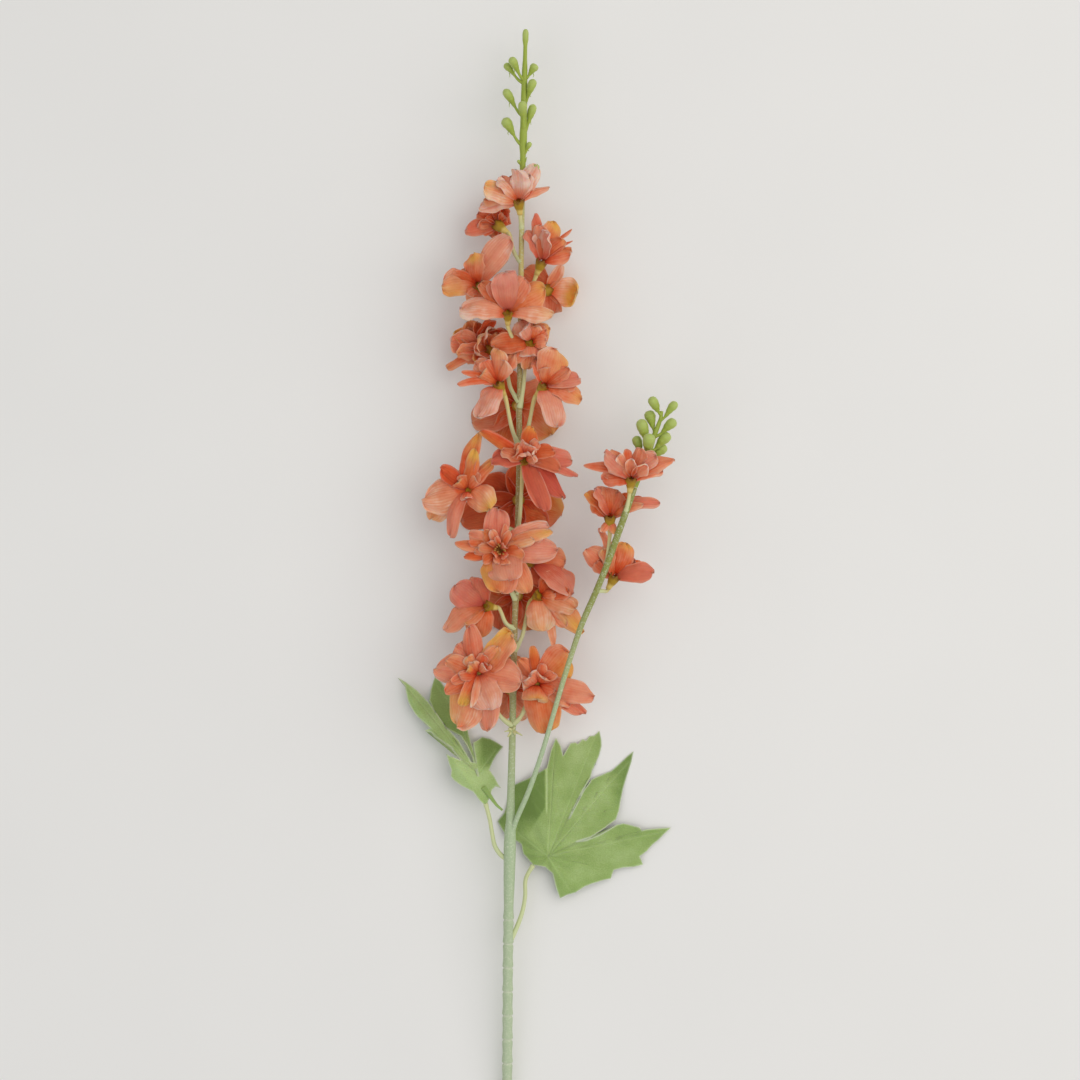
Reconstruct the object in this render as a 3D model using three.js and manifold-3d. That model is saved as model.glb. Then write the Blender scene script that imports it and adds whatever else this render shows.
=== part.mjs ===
// A cut delphinium flower spike, lying down. Millimetres. +Z is up off the surface it lies on,
// +Y runs along the stem from the cut end to the topmost bud, +X is to the right seen from above.
import * as THREE from 'three';
import { mergeVertices } from 'three/addons/utils/BufferGeometryUtils.js';
import Module from 'manifold-3d';

const wasm = await Module();
wasm.setup();

// ---- Driving dimensions ----
const SPIKE_LENGTH = 860; // cut end to topmost bud
const CUT_END_RADIUS = 3.75;
const CANE_JOINT_PITCH = 18.2; // the knuckles on the bare lower stem
const CANE_TOP = 200; // the knuckles end here
const STEM_TOP = 752; // the bright green bud tip is pushed on here
const STEM_SIDES = 8;
const STALK_SIDES = 5;
const STALK_RADIUS = 1.35;
const STALK_BOW = 0.1; // how far a flower stalk sags towards the cut end, as a share of its reach
const CALYX_RADIUS = 3.4;
const CALYX_LENGTH = 8;
const HUB_RADIUS = 3.1; // the little hub that a floret's petals grow from
const HUB_RISE = 6.2; // how far the hub stands above the middle of its calyx
const ROOT_DEPTH = 1.3; // how deep a petal's root is sunk in the hub
const PETAL_THICKNESS = 0.8;
const PETAL_CLAW = 1.9; // width where a petal leaves the hub
const PETAL_END = 0.15; // width of a petal's very end
const PETAL_ROLL = 0.25; // the most that a petal is turned about its own length, in radians
const PETAL_OPENNESS = 0.62; // 0 turns a petal's face to its floret's axis, 1 turns it straight up
const NARROW_PETAL = 10; // petals under this width are plain straps
const PETAL_WIDEST = 0.6; // how far along a petal is widest
const PETAL_SHOULDER = 0.95; // how late it broadens
const PETAL_CUP = 0.16; // rise of the edges, as a share of the half-width
const PETAL_ARCH = 0.55; // how strongly a petal leaves along its floret's axis
const TIP_ROUNDING = 0.12; // how far the corners of a petal's end fall back
const LEAF_THICKNESS = 0.9;
const BUD_SIDES = 5;
const BUD_STALK_RADIUS = 1;
const GAP = 0.3; // clear space between two pieces that touch

// The stem's axis, at even steps along its length: sideways and height.
const STEM_SIDEWAYS = [-0.4, 0.1, 0.75, 2.3, 4.3, 6.2, 8.7, 9.6, 10.7, 12.1, 14];
const STEM_HEIGHT = [3.57, 11, 18.5, 25, 30, 33, 34.5, 35, 35, 35, 35.5];

// The stem's radius above its knuckled part: place along the stem, radius.
const STEM_RADII = [
  [223, 4.4], [246, 4.8], [266, 4.2], [292, 3.2], [320, 2.9], [380, 2.4], [424, 2.15],
  [500, 2.05], [582, 1.95], [660, 1.9], [720, 1.85], [STEM_TOP, 1.8],
];

// The side branch's axis, from inside the stem to the foot of its bud tip.
const BRANCH_PATH = [
  [2.6, 252, 24.6], [5.6, 263, 28], [16.5, 289, 36], [27, 320, 44.5], [42.8, 374, 53.5], [56, 414, 56.5],
  [66, 437, 57], [75.8, 461, 57], [81.8, 478, 57], [89.3, 499, 57], [95, 516, 56.5],
];
const BRANCH_RADII = [[0, 2.6], [0.3, 2.5], [0.7, 2.4], [0.9, 2.7], [1, 2.5]];
const BRANCH_TIP_PATH = [[95.2, 516.5, 56.5], [106, 542, 56], [110, 554.8, 56], [114.8, 567.5, 56], [115.5, 573, 56]];

// Petals are given by where their tips are, seen from the middle of the calyx: right, along, up, and width.
const FLORETS = [
  {
    name: 'floret_05', calyx: [0.75, 644, 53], faces: [0, 0.75, 0.45], joint: 618,
    petals: [[-35, 10, 4, 19], [-1.5, 33, 12, 23], [34.5, 2, 2, 13], [28, 20, -2, 20], [-19, 28, -4, 15]],
  },
  {
    name: 'floret_12', calyx: [13, 535, 54], faces: [0.1, 0.5, 0.6], joint: 480,
    petals: [
      [36, 1.5, 4, 13], [40, -11, 2, 6], [29, -28, -4, 13], [16, -37, 4, 9],
      [-25, 2, 4, 13], [-16, 11, 8, 13], [3, 12, 12, 12],
    ],
  },
  {
    name: 'floret_15', calyx: [-5, 468.5, 50], faces: [0, 0.1, 1], joint: 432,
    petals: [
      [36, 18, 6, 17], [43, 1, 2, 20], [6, -22.5, 12, 26], [0, -32, 6, 24], [22, -32, 2, 18],
      [-34, 6, 6, 7], [-24, 12, 10, 12], [-2, 32, 8, 17],
      [-5, 16, 15, 6], [-16, 2, 13, 7],
    ],
  },
  {
    name: 'floret_20', calyx: [-21, 378, 52], faces: [0, -0.1, 1], joint: 337,
    petals: [
      [-7.5, 36, 6, 12], [25, 30, 4, 19], [-32, 3, 2, 23], [-16, -41, 0, 24], [8, -43, -2, 17],
      [10, -28, 12, 22], [31.5, -9, 6, 22], [-17, 20, 2, 18],
      [-8, 12, 14, 8],
    ],
  },
  {
    name: 'floret_21', calyx: [22, 369, 40], faces: [0.3, 0.1, 0.8], joint: 338,
    petals: [
      [-3, 28.5, 6, 7], [24, 24, -2, 26], [44, -7.5, 0, 14], [36, -23, -6, 10],
      [7.5, -37, 2, 26], [-12, 19, 6, 9], [-10, 2, 9, 10],
    ],
  },
  {
    name: 'floret_01', calyx: [9, 727, 44], faces: [-0.1, 0.85, 0.3], joint: 711,
    petals: [
      [-1.5, 27, 6, 12], [13.5, 31, -3, 11], [-25.5, 14, 4, 17],
      [23, 13.5, -5, 5], [-30, 0, -6, 9], [-12, 23, -4, 12],
    ],
  },
  {
    name: 'floret_03', calyx: [24.75, 682, 38], faces: [0.35, 0.85, 0.2], joint: 652,
    petals: [
      [-10.5, 27, -2, 9], [-4, 38, -6, 7], [12, 35, -8, 13], [24, 28, -3, 3.5],
      [24, 19.5, 3, 3.5], [24, 10, 6, 11], [6, 23, 9, 15], [20, 13, -10, 10],
    ],
  },
  {
    name: 'floret_04', calyx: [-20, 666, 38], faces: [-0.5, 0.6, 0.4], joint: 650,
    petals: [[22.5, 34, 4, 18], [-1.5, 22, -4, 13], [-17, 15, -8, 11], [-28, 1, 5, 15], [-6, -14, -8, 12]],
  },
  {
    name: 'floret_09', calyx: [-5, 591, 46], faces: [-0.35, 0.7, 0.3], joint: 547,
    petals: [
      [-2, 29, 6, 13], [10.5, 27, 0, 9], [-20, 19, -2, 13],
      [-29, 11, 2, 3.5], [-32, 1.5, 5, 4], [-15, -24, 8, 20],
    ],
  },
  {
    name: 'floret_10', calyx: [26, 590, 44], faces: [0.4, 0.5, 0.3], joint: 546,
    petals: [[13.5, 29, 0, 20], [-4.5, 23, 2, 11], [29, 8, 5, 9], [31, -7, 0, 13], [13, -28.5, 10, 19]],
  },
  {
    name: 'floret_13', calyx: [-28, 513.5, 44], faces: [-0.35, 0.2, 0.7], joint: 482,
    petals: [
      [-34, -8, -2, 25], [-15, -35, 4, 8], [17, -12, 12, 19],
      [-16, 16, 2, 10], [6, 43.5, 4, 11], [19, 22, 6, 9],
    ],
  },
  {
    name: 'floret_17', calyx: [-13.5, 427, 42], faces: [-0.6, 0.1, 0.4], joint: 410,
    petals: [[-25.5, 15, 2, 20], [-11, 22, -2, 16], [-34.5, -18, -2, 11], [-25, -1, -8, 10], [-8, -25, -2, 17]],
  },
  {
    name: 'floret_18', calyx: [22.5, 434, 37], faces: [0.5, 0.35, 0.6], joint: 393,
    petals: [[6, -25, 6, 18], [13.5, -37, 0, 6], [35, -25.5, -2, 14], [30, -7.5, 4, 15], [16, 14, -4, 14]],
  },
  {
    name: 'floret_08', calyx: [17, 623, 42], faces: [0.2, 0.5, 0.5], joint: 576,
    petals: [[-5, 20, 4, 18], [16, 12, -2, 13], [12, -14, 0, 15], [-12, -6, 2, 12]],
  },
  {
    name: 'floret_07', calyx: [-11, 619, 25], faces: [-0.75, 0.3, -0.1], joint: 580,
    petals: [
      [-32, 9, 2, 17], [-34.5, -13, -6, 7], [-22, 20, -2, 16],
      [-3, 19, 5, 15], [-12, -3, 10, 12], [-20, -6, -12, 14],
    ],
  },
  {
    name: 'floret_16', calyx: [17, 460, 32], faces: [0.6, 0.1, 0.1], joint: 436,
    petals: [[34, -22.5, 2, 26], [26, 0, -4, 18], [12, -20, -8, 16], [14, 16, -6, 14]],
  },
  {
    name: 'floret_02', calyx: [-4.5, 711.5, 28], faces: [-0.6, 0.5, -0.4], joint: 685,
    petals: [[-26, -1.5, -2, 13], [-18, 11, -8, 14], [4, 14, -10, 14], [-10, -4, -16, 12]],
  },
  {
    name: 'floret_06', calyx: [28, 664, 20], faces: [0.5, 0.2, -0.6], joint: 630,
    petals: [[25, 0, -2, 25], [13, 20, 2, 7], [4, -16, -12, 18], [-15, 17, -12, 20]],
  },
  {
    name: 'floret_11', calyx: [8, 578, 14], faces: [0, 0.1, -1], joint: 549,
    petals: [[-35, -11, -15, 24], [-13, -28, -15, 20], [24, -24, -15, 26], [24, 16, -15, 20], [-12, 26, -15, 22]],
  },
  {
    name: 'floret_14', calyx: [4, 507, 14], faces: [0, 0, -1], joint: 473,
    petals: [[36, -3, -15, 28], [-33, -18, -15, 24], [-24, 14, -15, 22], [23, -28, -15, 20], [6, 26, -15, 22]],
  },
  {
    name: 'floret_19', calyx: [7.5, 435, 14], faces: [0, 0, -1], joint: 405,
    petals: [[-13, -26, -15, 22], [14, -26, -15, 22], [-26, 8, -15, 22], [26, 10, -15, 22]],
  },
  {
    name: 'floret_22', calyx: [3, 364, 14], faces: [0, 0, -1], joint: 338,
    petals: [[-11, -19, -15, 22], [15, -19, -15, 22], [-24, 14, -15, 20], [22, 18, -15, 22]],
  },
];

// The side branch's florets; their joint is a share of the branch's length.
const SIDE_FLORETS = [
  {
    name: 'side_floret_1', calyx: [92.3, 518.8, 63], faces: [0.1, 0.9, 0.25], joint: 0.93,
    petals: [
      [-35, 13, -2, 7], [-20, 22, 4, 12], [-21, 12, -4, 12],
      [-2, 25.5, 0, 7], [7.5, 26, 4, 10], [19.5, 21, 6, 11], [31.5, 19.5, 0, 9],
    ],
  },
  {
    name: 'side_floret_2', calyx: [77, 490.3, 52], faces: [0, 0.9, 0.2], joint: 0.78,
    petals: [[-18, 22, 2, 10], [-9.5, 25.5, 6, 13], [7, 23, 0, 13], [37, 15, -6, 9], [-6, -8, 4, 6], [25, 19, -8, 12]],
  },
  {
    name: 'side_floret_3', calyx: [79, 446.3, 46], faces: [0, 0.9, 0.2], joint: 0.66,
    petals: [[-9, 39, -4, 12], [-19.5, 23, 2, 15], [11.5, 28, -3, 15], [31.5, 7, 2, 14], [16.5, 15, -6, 11]],
  },
];

// Buds: middle of the bud, place where its stalk leaves, width and length.
const SPIKE_BUDS = [
  { middle: [5.3, 832.3, 39], joint: 819, width: 6.8, length: 11 },
  { middle: [0.8, 829, 31], joint: 816, width: 5, length: 9 },
  { middle: [21, 830, 36], joint: 822, width: 7.4, length: 8 },
  { middle: [20, 817.3, 38], joint: 805, width: 7.4, length: 10 },
  { middle: [1, 809, 37], joint: 794, width: 7.4, length: 12.6 },
  { middle: [11.8, 799.5, 43], joint: 787, width: 6.8, length: 12.6 },
  { middle: [20.5, 797.8, 34], joint: 781, width: 6.8, length: 11 },
  { middle: [1, 788, 36], joint: 772, width: 8.4, length: 12 },
];
const SIDE_BUDS = [
  { middle: [110.3, 578.5, 58], joint: 0.95, width: 6.3, length: 9.5 },
  { middle: [123, 575.5, 56], joint: 0.88, width: 6, length: 9.5 },
  { middle: [121.5, 562.3, 57], joint: 0.66, width: 6.3, length: 9 },
  { middle: [107.5, 567.5, 52], joint: 0.72, width: 6, length: 9 },
  { middle: [101.5, 559.5, 58], joint: 0.5, width: 7, length: 11 },
  { middle: [117.3, 551.5, 54], joint: 0.46, width: 6.5, length: 10 },
  { middle: [97.8, 548.8, 52], joint: 0.34, width: 5.5, length: 9 },
  { middle: [105.5, 549.3, 64], joint: 0.3, width: 6.5, length: 10 },
  { middle: [114.5, 543.2, 50], joint: 0.3, width: 6.3, length: 9 },
];

// A leaf's outline runs once round its heart, the point that every lobe spreads from.
const RIGHT_LEAF = {
  name: 'leaf_right', heart: [30.8, 238.3],
  outline: [
    [19.5, 231.5], [12, 240], [10.5, 247.3], [-1.5, 254], [-7.5, 264], [-2.3, 270.5], [4.5, 291.5], [17.3, 297.5],
    [30, 305], [33, 318], [36.8, 327.5], [40.5, 321], [42.8, 314], [48, 323], [55.5, 325.5], [60.8, 329],
    [70, 332], [70.9, 320], [67, 308], [63, 296.8], [46.9, 266.8], [64.5, 296], [75, 301.3], [84, 307],
    [96, 317], [93, 306.5], [87.8, 288.5], [85, 273], [83.3, 266], [52.5, 249.5], [80.3, 261.5], [91.5, 262.3],
    [103.5, 257.8], [123.8, 259.3], [114.8, 250.3], [100.5, 237.5], [102.8, 231.5], [80.7, 227.4], [78.8, 221],
    [58.5, 215], [39.8, 206], [34.5, 224.8], [28.5, 230],
  ],
  stalk: [[2.9, 176, 18.6], [5.5, 181, 17.5], [11.3, 196, 14], [13.5, 208, 12], [14, 221, 11.6], [19.5, 231.5, 12.2]],
  height: rightLeafHeight,
};
const LEFT_LEAF = {
  name: 'leaf_left', heart: [-21.8, 300.5],
  outline: [
    [-15.8, 275.8], [-20.6, 280.7], [-25.5, 287.3], [-40.5, 296], [-42, 303.5], [-45.8, 314.8], [-36, 311],
    [-62.3, 332.8], [-58, 334.8], [-66.8, 342.8], [-72.3, 349.5], [-75.2, 358.3], [-77.3, 366.7], [-82.8, 373],
    [-76, 368.8], [-60, 354.8], [-54.8, 372.5], [-49.5, 366.5], [-38, 346], [-29.3, 330.5], [-26.3, 325.3],
    [-19.5, 327.5], [-11.3, 324.5], [-3.6, 320], [-11.3, 307.3], [-14.3, 302.8], [-6.6, 288.5], [-13.5, 286.5],
  ],
  stalk: [[2, 236, 23.4], [-3.8, 239, 22.6], [-9, 246, 21.5], [-11.3, 256, 21], [-13, 266, 21.4], [-16.2, 278.5, 22]],
  height: leftLeafHeight,
};
const LEAF_RINGS = [0.5, 1];

const COLOURS = {
  petal: 0xcf7c66, stem: 0x93b488, bud: 0x9db548, branch: 0x8fae60, leaf: 0x9dbb70,
};

// ---- Small helpers ----
function vector(list) {
  return new THREE.Vector3(...list);
}

/** An even random draw in 0..1 that gives the same run of numbers each time. */
function seededRandom(seed) {
  let state = seed;
  return () => {
    state = (state * 1664525 + 1013904223) % 4294967296;
    return state / 4294967296;
  };
}

/** Merges shared vertices and drops triangles that have shrunk to a line. */
function weld(geometry) {
  geometry.deleteAttribute('normal');
  geometry.deleteAttribute('uv');
  const merged = mergeVertices(geometry, 1e-4);
  const kept = [];
  const corners = merged.index.array;
  for (let i = 0; i < corners.length; i += 3) {
    const [a, b, c] = [corners[i], corners[i + 1], corners[i + 2]];
    if (a !== b && b !== c && c !== a) {
      kept.push(a, b, c);
    }
  }
  merged.setIndex(kept);
  return merged;
}

function solidOf(geometry) {
  const closed = weld(geometry);
  return new wasm.Manifold(new wasm.Mesh({
    numProp: 3,
    vertProperties: new Float32Array(closed.attributes.position.array),
    triVerts: new Uint32Array(closed.index.array),
  }));
}

function geometryOf(solid) {
  const mesh = solid.getMesh();
  const geometry = new THREE.BufferGeometry();
  geometry.setAttribute('position', new THREE.BufferAttribute(mesh.vertProperties, mesh.numProp));
  geometry.setIndex(new THREE.BufferAttribute(mesh.triVerts, 1));
  geometry.computeVertexNormals();
  return geometry;
}

function fuse(solids) {
  return solids.reduce((whole, next) => whole.add(next));
}

/** The largest of a solid's separate bodies, so that no loose scrap stays. */
function largestBody(solid) {
  const bodies = solid.decompose();
  return bodies.reduce((best, next) => (next.volume() > best.volume() ? next : best));
}

/** A sheet over the square 0..1 by 0..1, each of whose points goes where `place` says. */
function sheet(columns, rows, place) {
  const plane = new THREE.PlaneGeometry(1, 1, columns, rows);
  const position = plane.attributes.position;
  for (let i = 0; i < position.count; i += 1) {
    const point = place(position.getX(i) + 0.5, position.getY(i) + 0.5);
    position.setXYZ(i, point.x, point.y, point.z);
  }
  return weld(plane);
}

/** Directed edges that only one triangle has: the sheet's rim. */
function rimEdges(corners) {
  const edges = new Map();
  for (let i = 0; i < corners.length; i += 3) {
    for (let k = 0; k < 3; k += 1) {
      const [from, to] = [corners[i + k], corners[i + ((k + 1) % 3)]];
      edges.set(`${from},${to}`, [from, to]);
    }
  }
  return [...edges.values()].filter(([from, to]) => !edges.has(`${to},${from}`));
}

/** A sheet given thickness: a face on each side, split alike, and a wall round the rim. */
function thicken(surface, thickness) {
  surface.computeVertexNormals();
  const { position, normal } = surface.attributes;
  const count = position.count;
  const points = new Float32Array(count * 6);
  for (let i = 0; i < count; i += 1) {
    const middle = new THREE.Vector3().fromBufferAttribute(position, i);
    const offset = new THREE.Vector3().fromBufferAttribute(normal, i).multiplyScalar(thickness / 2);
    middle.clone().add(offset).toArray(points, i * 3);
    middle.clone().sub(offset).toArray(points, (count + i) * 3);
  }
  const upper = [...surface.index.array];
  const triangles = [...upper];
  for (let i = 0; i < upper.length; i += 3) {
    triangles.push(count + upper[i + 2], count + upper[i + 1], count + upper[i]);
  }
  for (const [from, to] of rimEdges(upper)) {
    triangles.push(to, from, count + from, to, count + from, count + to);
  }
  const geometry = new THREE.BufferGeometry();
  geometry.setAttribute('position', new THREE.BufferAttribute(points, 3));
  geometry.setIndex(triangles);
  return geometry;
}

/**
 * A turned shape bent along a curve. The profile lists share of the curve's length, and radius.
 * `extra` makes it that much fatter all round, and longer at both ends.
 */
function turnedAlong(curve, profile, sides, extra) {
  const outline = profile.map(([share, radius]) => new THREE.Vector2(radius + extra, share));
  outline.unshift(new THREE.Vector2(0, profile[0][0]));
  outline.push(new THREE.Vector2(0, profile[profile.length - 1][0]));
  const lathe = new THREE.LatheGeometry(outline, sides);
  const frames = framesAlong(curve, outline.map((point) => point.y));
  for (const end of [0, 1]) {
    frames[end].origin.addScaledVector(frames[end].tangent, -extra);
    frames[frames.length - 1 - end].origin.addScaledVector(frames[frames.length - 1].tangent, extra);
  }
  const position = lathe.attributes.position;
  for (let i = 0; i < position.count; i += 1) {
    const frame = frames[i % outline.length];
    const point = frame.origin.clone()
      .addScaledVector(frame.side, position.getX(i))
      .addScaledVector(frame.other, position.getZ(i));
    position.setXYZ(i, point.x, point.y, point.z);
  }
  return solidOf(lathe);
}

/** Cross-section frames at the given shares of a curve, with as little twist as possible. */
function framesAlong(curve, shares) {
  const side = new THREE.Vector3(0.31, 0.2, 0.93);
  return shares.map((share) => {
    const tangent = curve.getTangentAt(share);
    side.addScaledVector(tangent, -side.dot(tangent)).normalize();
    const other = new THREE.Vector3().crossVectors(side, tangent);
    return { origin: curve.getPointAt(share), tangent, side: side.clone(), other };
  });
}

// ---- Stems ----
const stemCurve = new THREE.CatmullRomCurve3(
  STEM_SIDEWAYS.map((x, i) => new THREE.Vector3(
    x, (SPIKE_LENGTH * i) / (STEM_SIDEWAYS.length - 1), STEM_HEIGHT[i],
  )),
  false, 'catmullrom', 0.5,
);
stemCurve.arcLengthDivisions = 2000;
const branchCurve = new THREE.CatmullRomCurve3(BRANCH_PATH.map(vector));
const branchTipCurve = new THREE.CatmullRomCurve3(BRANCH_TIP_PATH.map(vector));

/** The point of the stem's axis at a distance along +Y. */
function stemPoint(along) {
  return stemCurve.getPoint(along / SPIKE_LENGTH);
}

/** The part of the stem's axis between two places along +Y. */
function stemStretch(from, to, steps) {
  const points = Array.from({ length: steps + 1 }, (_, i) => stemPoint(from + ((to - from) * i) / steps));
  return new THREE.CatmullRomCurve3(points);
}

/** The bare lower stem: a knuckle at each joint, and a slight swell between two of them. */
function caneRadii() {
  const radii = [[0, CUT_END_RADIUS]];
  for (let joint = CANE_JOINT_PITCH * 0.5; joint < CANE_TOP; joint += CANE_JOINT_PITCH) {
    radii.push([joint, 3.5], [joint + CANE_JOINT_PITCH * 0.3, 4.15]);
  }
  return radii;
}

function mainStem(extra) {
  const curve = stemStretch(0, STEM_TOP, 24);
  const radii = [...caneRadii(), ...STEM_RADII];
  const profile = radii.map(([along, radius]) => [along / STEM_TOP, radius]);
  return turnedAlong(curve, profile, STEM_SIDES, extra);
}

/** A flower stalk and its calyx, from inside the stem to just under the petals' hub. */
function stalkWithCalyx(root, floret, extra) {
  const axis = vector(floret.faces).normalize();
  const middle = vector(floret.calyx);
  const foot = middle.clone().addScaledVector(axis, -CALYX_LENGTH / 2);
  const leaving = root.clone().lerp(foot, 0.35);
  leaving.y -= STALK_BOW * root.distanceTo(foot);
  const curve = new THREE.CatmullRomCurve3([
    root, leaving, foot.clone().addScaledVector(axis, -CALYX_LENGTH * 0.6), foot,
    middle.clone().addScaledVector(axis, CALYX_LENGTH / 2),
  ]);
  const length = curve.getLength();
  const from = (distance) => 1 - distance / length;
  return turnedAlong(curve, [
    [0, STALK_RADIUS * 1.15], [0.5, STALK_RADIUS], [from(CALYX_LENGTH * 1.15), STALK_RADIUS],
    [from(CALYX_LENGTH * 0.7), CALYX_RADIUS * 0.9], [1, CALYX_RADIUS * 0.9],
  ], STALK_SIDES, extra);
}

function leafStalk(leaf, extra) {
  const curve = new THREE.CatmullRomCurve3(leaf.stalk.map(vector));
  return turnedAlong(curve, [[0, 1.9], [0.3, 1.7], [0.6, 1.6], [0.85, 1.6], [1, 1.3]], STALK_SIDES, extra);
}

// ---- Buds ----
/** A club-shaped bud on its short stalk. */
function bud(root, { middle, width, length }, extra) {
  const centre = vector(middle);
  const away = centre.clone().sub(root).normalize();
  const end = centre.clone().addScaledVector(away, length / 2);
  const bend = root.clone().lerp(centre, 0.4);
  bend.y -= STALK_BOW * root.distanceTo(centre);
  const curve = new THREE.CatmullRomCurve3([root, bend, centre, end]);
  const from = (share) => 1 - (share * length) / curve.getLength();
  return turnedAlong(curve, [
    [0, BUD_STALK_RADIUS], [from(1), BUD_STALK_RADIUS * 1.1], [from(0.65), width * 0.46],
    [from(0.25), width * 0.48], [1, width * 0.2],
  ], BUD_SIDES, extra);
}

/** The bright green tip: the stem's last stretch, ending in its own bud, with the side buds on it. */
function spikeTip(extra) {
  const curve = stemStretch(STEM_TOP + GAP, SPIKE_LENGTH, 8);
  const rachis = turnedAlong(curve, [
    [0, 1.8], [0.45, 1.75], [0.8, 1.45], [0.86, 1.2], [0.9, 2.1], [0.95, 2.4], [0.985, 1.8], [1, 0.5],
  ], BUD_SIDES, extra);
  return fuse([rachis, ...SPIKE_BUDS.map((each) => bud(stemPoint(each.joint), each, extra))]);
}

function sideTip(extra) {
  const rachis = turnedAlong(branchTipCurve, [[0, 2.2], [0.3, 1.8], [0.7, 1.4], [1, 1]], BUD_SIDES, extra);
  return fuse([rachis, ...SIDE_BUDS.map((each) => bud(branchTipCurve.getPointAt(each.joint), each, extra))]);
}

// ---- Petals ----
/** Half the width of a petal at a share of its length: a narrow claw, a broad blade and a round end. */
function petalHalfWidth(width, share) {
  const rising = Math.sin((Math.PI / 2) * Math.min(1, share / PETAL_WIDEST)) ** PETAL_SHOULDER;
  const past = Math.max(0, share - PETAL_WIDEST) / (1 - PETAL_WIDEST);
  const blade = PETAL_CLAW + (Math.max(width, PETAL_CLAW) - PETAL_CLAW) * rising;
  return (blade * Math.sqrt(Math.max(0, 1 - past * past)) + PETAL_END) / 2;
}

/** The way a petal's width lies: round its floret, but turned some way to face straight up. */
function petalAcross(axis, direction) {
  const round = new THREE.Vector3().crossVectors(axis, direction).normalize();
  const level = new THREE.Vector3(-direction.y, direction.x, 0).normalize();
  if (level.dot(round) < 0) {
    level.negate();
  }
  return round.lerp(level, PETAL_OPENNESS).normalize();
}

/**
 * A petal's surface. It leaves the hub partly along the floret's axis and bends over to its tip.
 * Its width lies round the floret, at right angles to that bend, and its edges rise a little.
 */
function petalSheet(floret, petal, rolled, extra) {
  const axis = vector(floret.faces).normalize();
  const hub = vector(floret.calyx).addScaledVector(axis, HUB_RISE);
  const tip = vector(floret.calyx).add(new THREE.Vector3(petal[0], petal[1], petal[2]));
  const direction = tip.clone().sub(hub).normalize();
  const base = hub.addScaledVector(direction, HUB_RADIUS - ROOT_DEPTH);
  const reach = base.distanceTo(tip);
  const lean = axis.clone().multiplyScalar(PETAL_ARCH).addScaledVector(direction, 1 - PETAL_ARCH);
  const bend = new THREE.QuadraticBezierCurve3(
    base, base.clone().addScaledVector(lean, reach * 0.5), tip.addScaledVector(direction, extra),
  );
  const across = petalAcross(axis, direction).applyAxisAngle(direction, rolled);
  const lowest = PETAL_THICKNESS / 2;
  const [columns, rounding] = petal[3] < NARROW_PETAL ? [1, 0] : [2, TIP_ROUNDING];
  return sheet(columns, 3, (s, t) => {
    const edge = 2 * s - 1;
    const share = t - rounding * edge * edge * t ** 3;
    const half = petalHalfWidth(petal[3] + 2 * extra, share);
    const facing = new THREE.Vector3().crossVectors(bend.getTangent(share), across).normalize();
    const point = bend.getPoint(share)
      .addScaledVector(across, half * edge)
      .addScaledVector(facing, -PETAL_CUP * half * edge * edge);
    point.z = Math.max(point.z, lowest);
    return point;
  });
}

/** One floret: its petals in their layers round a small hub. */
function floretSolid(floret, extra) {
  const random = seededRandom(floret.calyx[1] * 10);
  const axis = vector(floret.faces).normalize();
  const hub = new THREE.OctahedronGeometry(HUB_RADIUS * 1.2 + extra);
  const centre = vector(floret.calyx).addScaledVector(axis, HUB_RISE);
  hub.translate(centre.x, centre.y, centre.z);
  const petals = floret.petals.map((petal) => {
    const rolled = (2 * random() - 1) * PETAL_ROLL;
    return solidOf(thicken(petalSheet(floret, petal, rolled, extra), PETAL_THICKNESS + 2 * extra));
  });
  return fuse([solidOf(hub), ...petals]);
}

// ---- Leaves ----
/** The right leaf sags from its heart to the surface, with a soft wave from lobe to lobe. */
function rightLeafHeight(x, y) {
  const [hx, hy] = RIGHT_LEAF.heart;
  const out = Math.hypot(x - hx, y - hy);
  const turn = Math.atan2(y - hy, x - hx);
  return 12.5 - 0.125 * out + 1.6 * Math.sin(5 * turn) * Math.min(1, out / 60);
}

/** The left leaf hangs like a tent from its middle rib, which falls towards the longest lobe. */
function leftLeafHeight(x, y) {
  const [footX, footY] = LEFT_LEAF.outline[0];
  const rib = new THREE.Vector2(-0.57, 0.82).normalize();
  const along = (x - footX) * rib.x + (y - footY) * rib.y;
  const beside = (x - footX) * rib.y - (y - footY) * rib.x;
  const fall = beside > 0 ? 0.55 * beside : -0.3 * beside;
  return 23.5 - 0.12 * along - fall;
}

/** A leaf's blade: rings of its own outline, from the heart out to the cut edge. */
function leafSheet(leaf, extra) {
  const [heartX, heartY] = leaf.heart;
  const count = leaf.outline.length;
  const shares = [0, ...LEAF_RINGS];
  return sheet(count, shares.length - 1, (s, t) => {
    const [x, y] = leaf.outline[Math.round(s * count) % count];
    const reach = Math.hypot(x - heartX, y - heartY);
    const share = shares[Math.round(t * (shares.length - 1))] * (1 + extra / reach);
    const point = new THREE.Vector3(heartX + (x - heartX) * share, heartY + (y - heartY) * share, 0);
    point.z = Math.max(leaf.height(point.x, point.y), LEAF_THICKNESS / 2);
    return point;
  });
}

function leafSolid(leaf, extra) {
  return solidOf(thicken(leafSheet(leaf, extra), LEAF_THICKNESS + 2 * extra));
}

// ---- Assembly ----
// In what follows, `extra` makes a piece that much fatter all round.
/** The stem, its flower stalks with their calyces, and the leaf stalks, all one piece. */
function stemPiece(extra) {
  const stalks = FLORETS.map((floret) => stalkWithCalyx(stemPoint(floret.joint), floret, extra));
  return fuse([mainStem(extra), ...stalks, leafStalk(RIGHT_LEAF, extra), leafStalk(LEFT_LEAF, extra)]);
}

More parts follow.
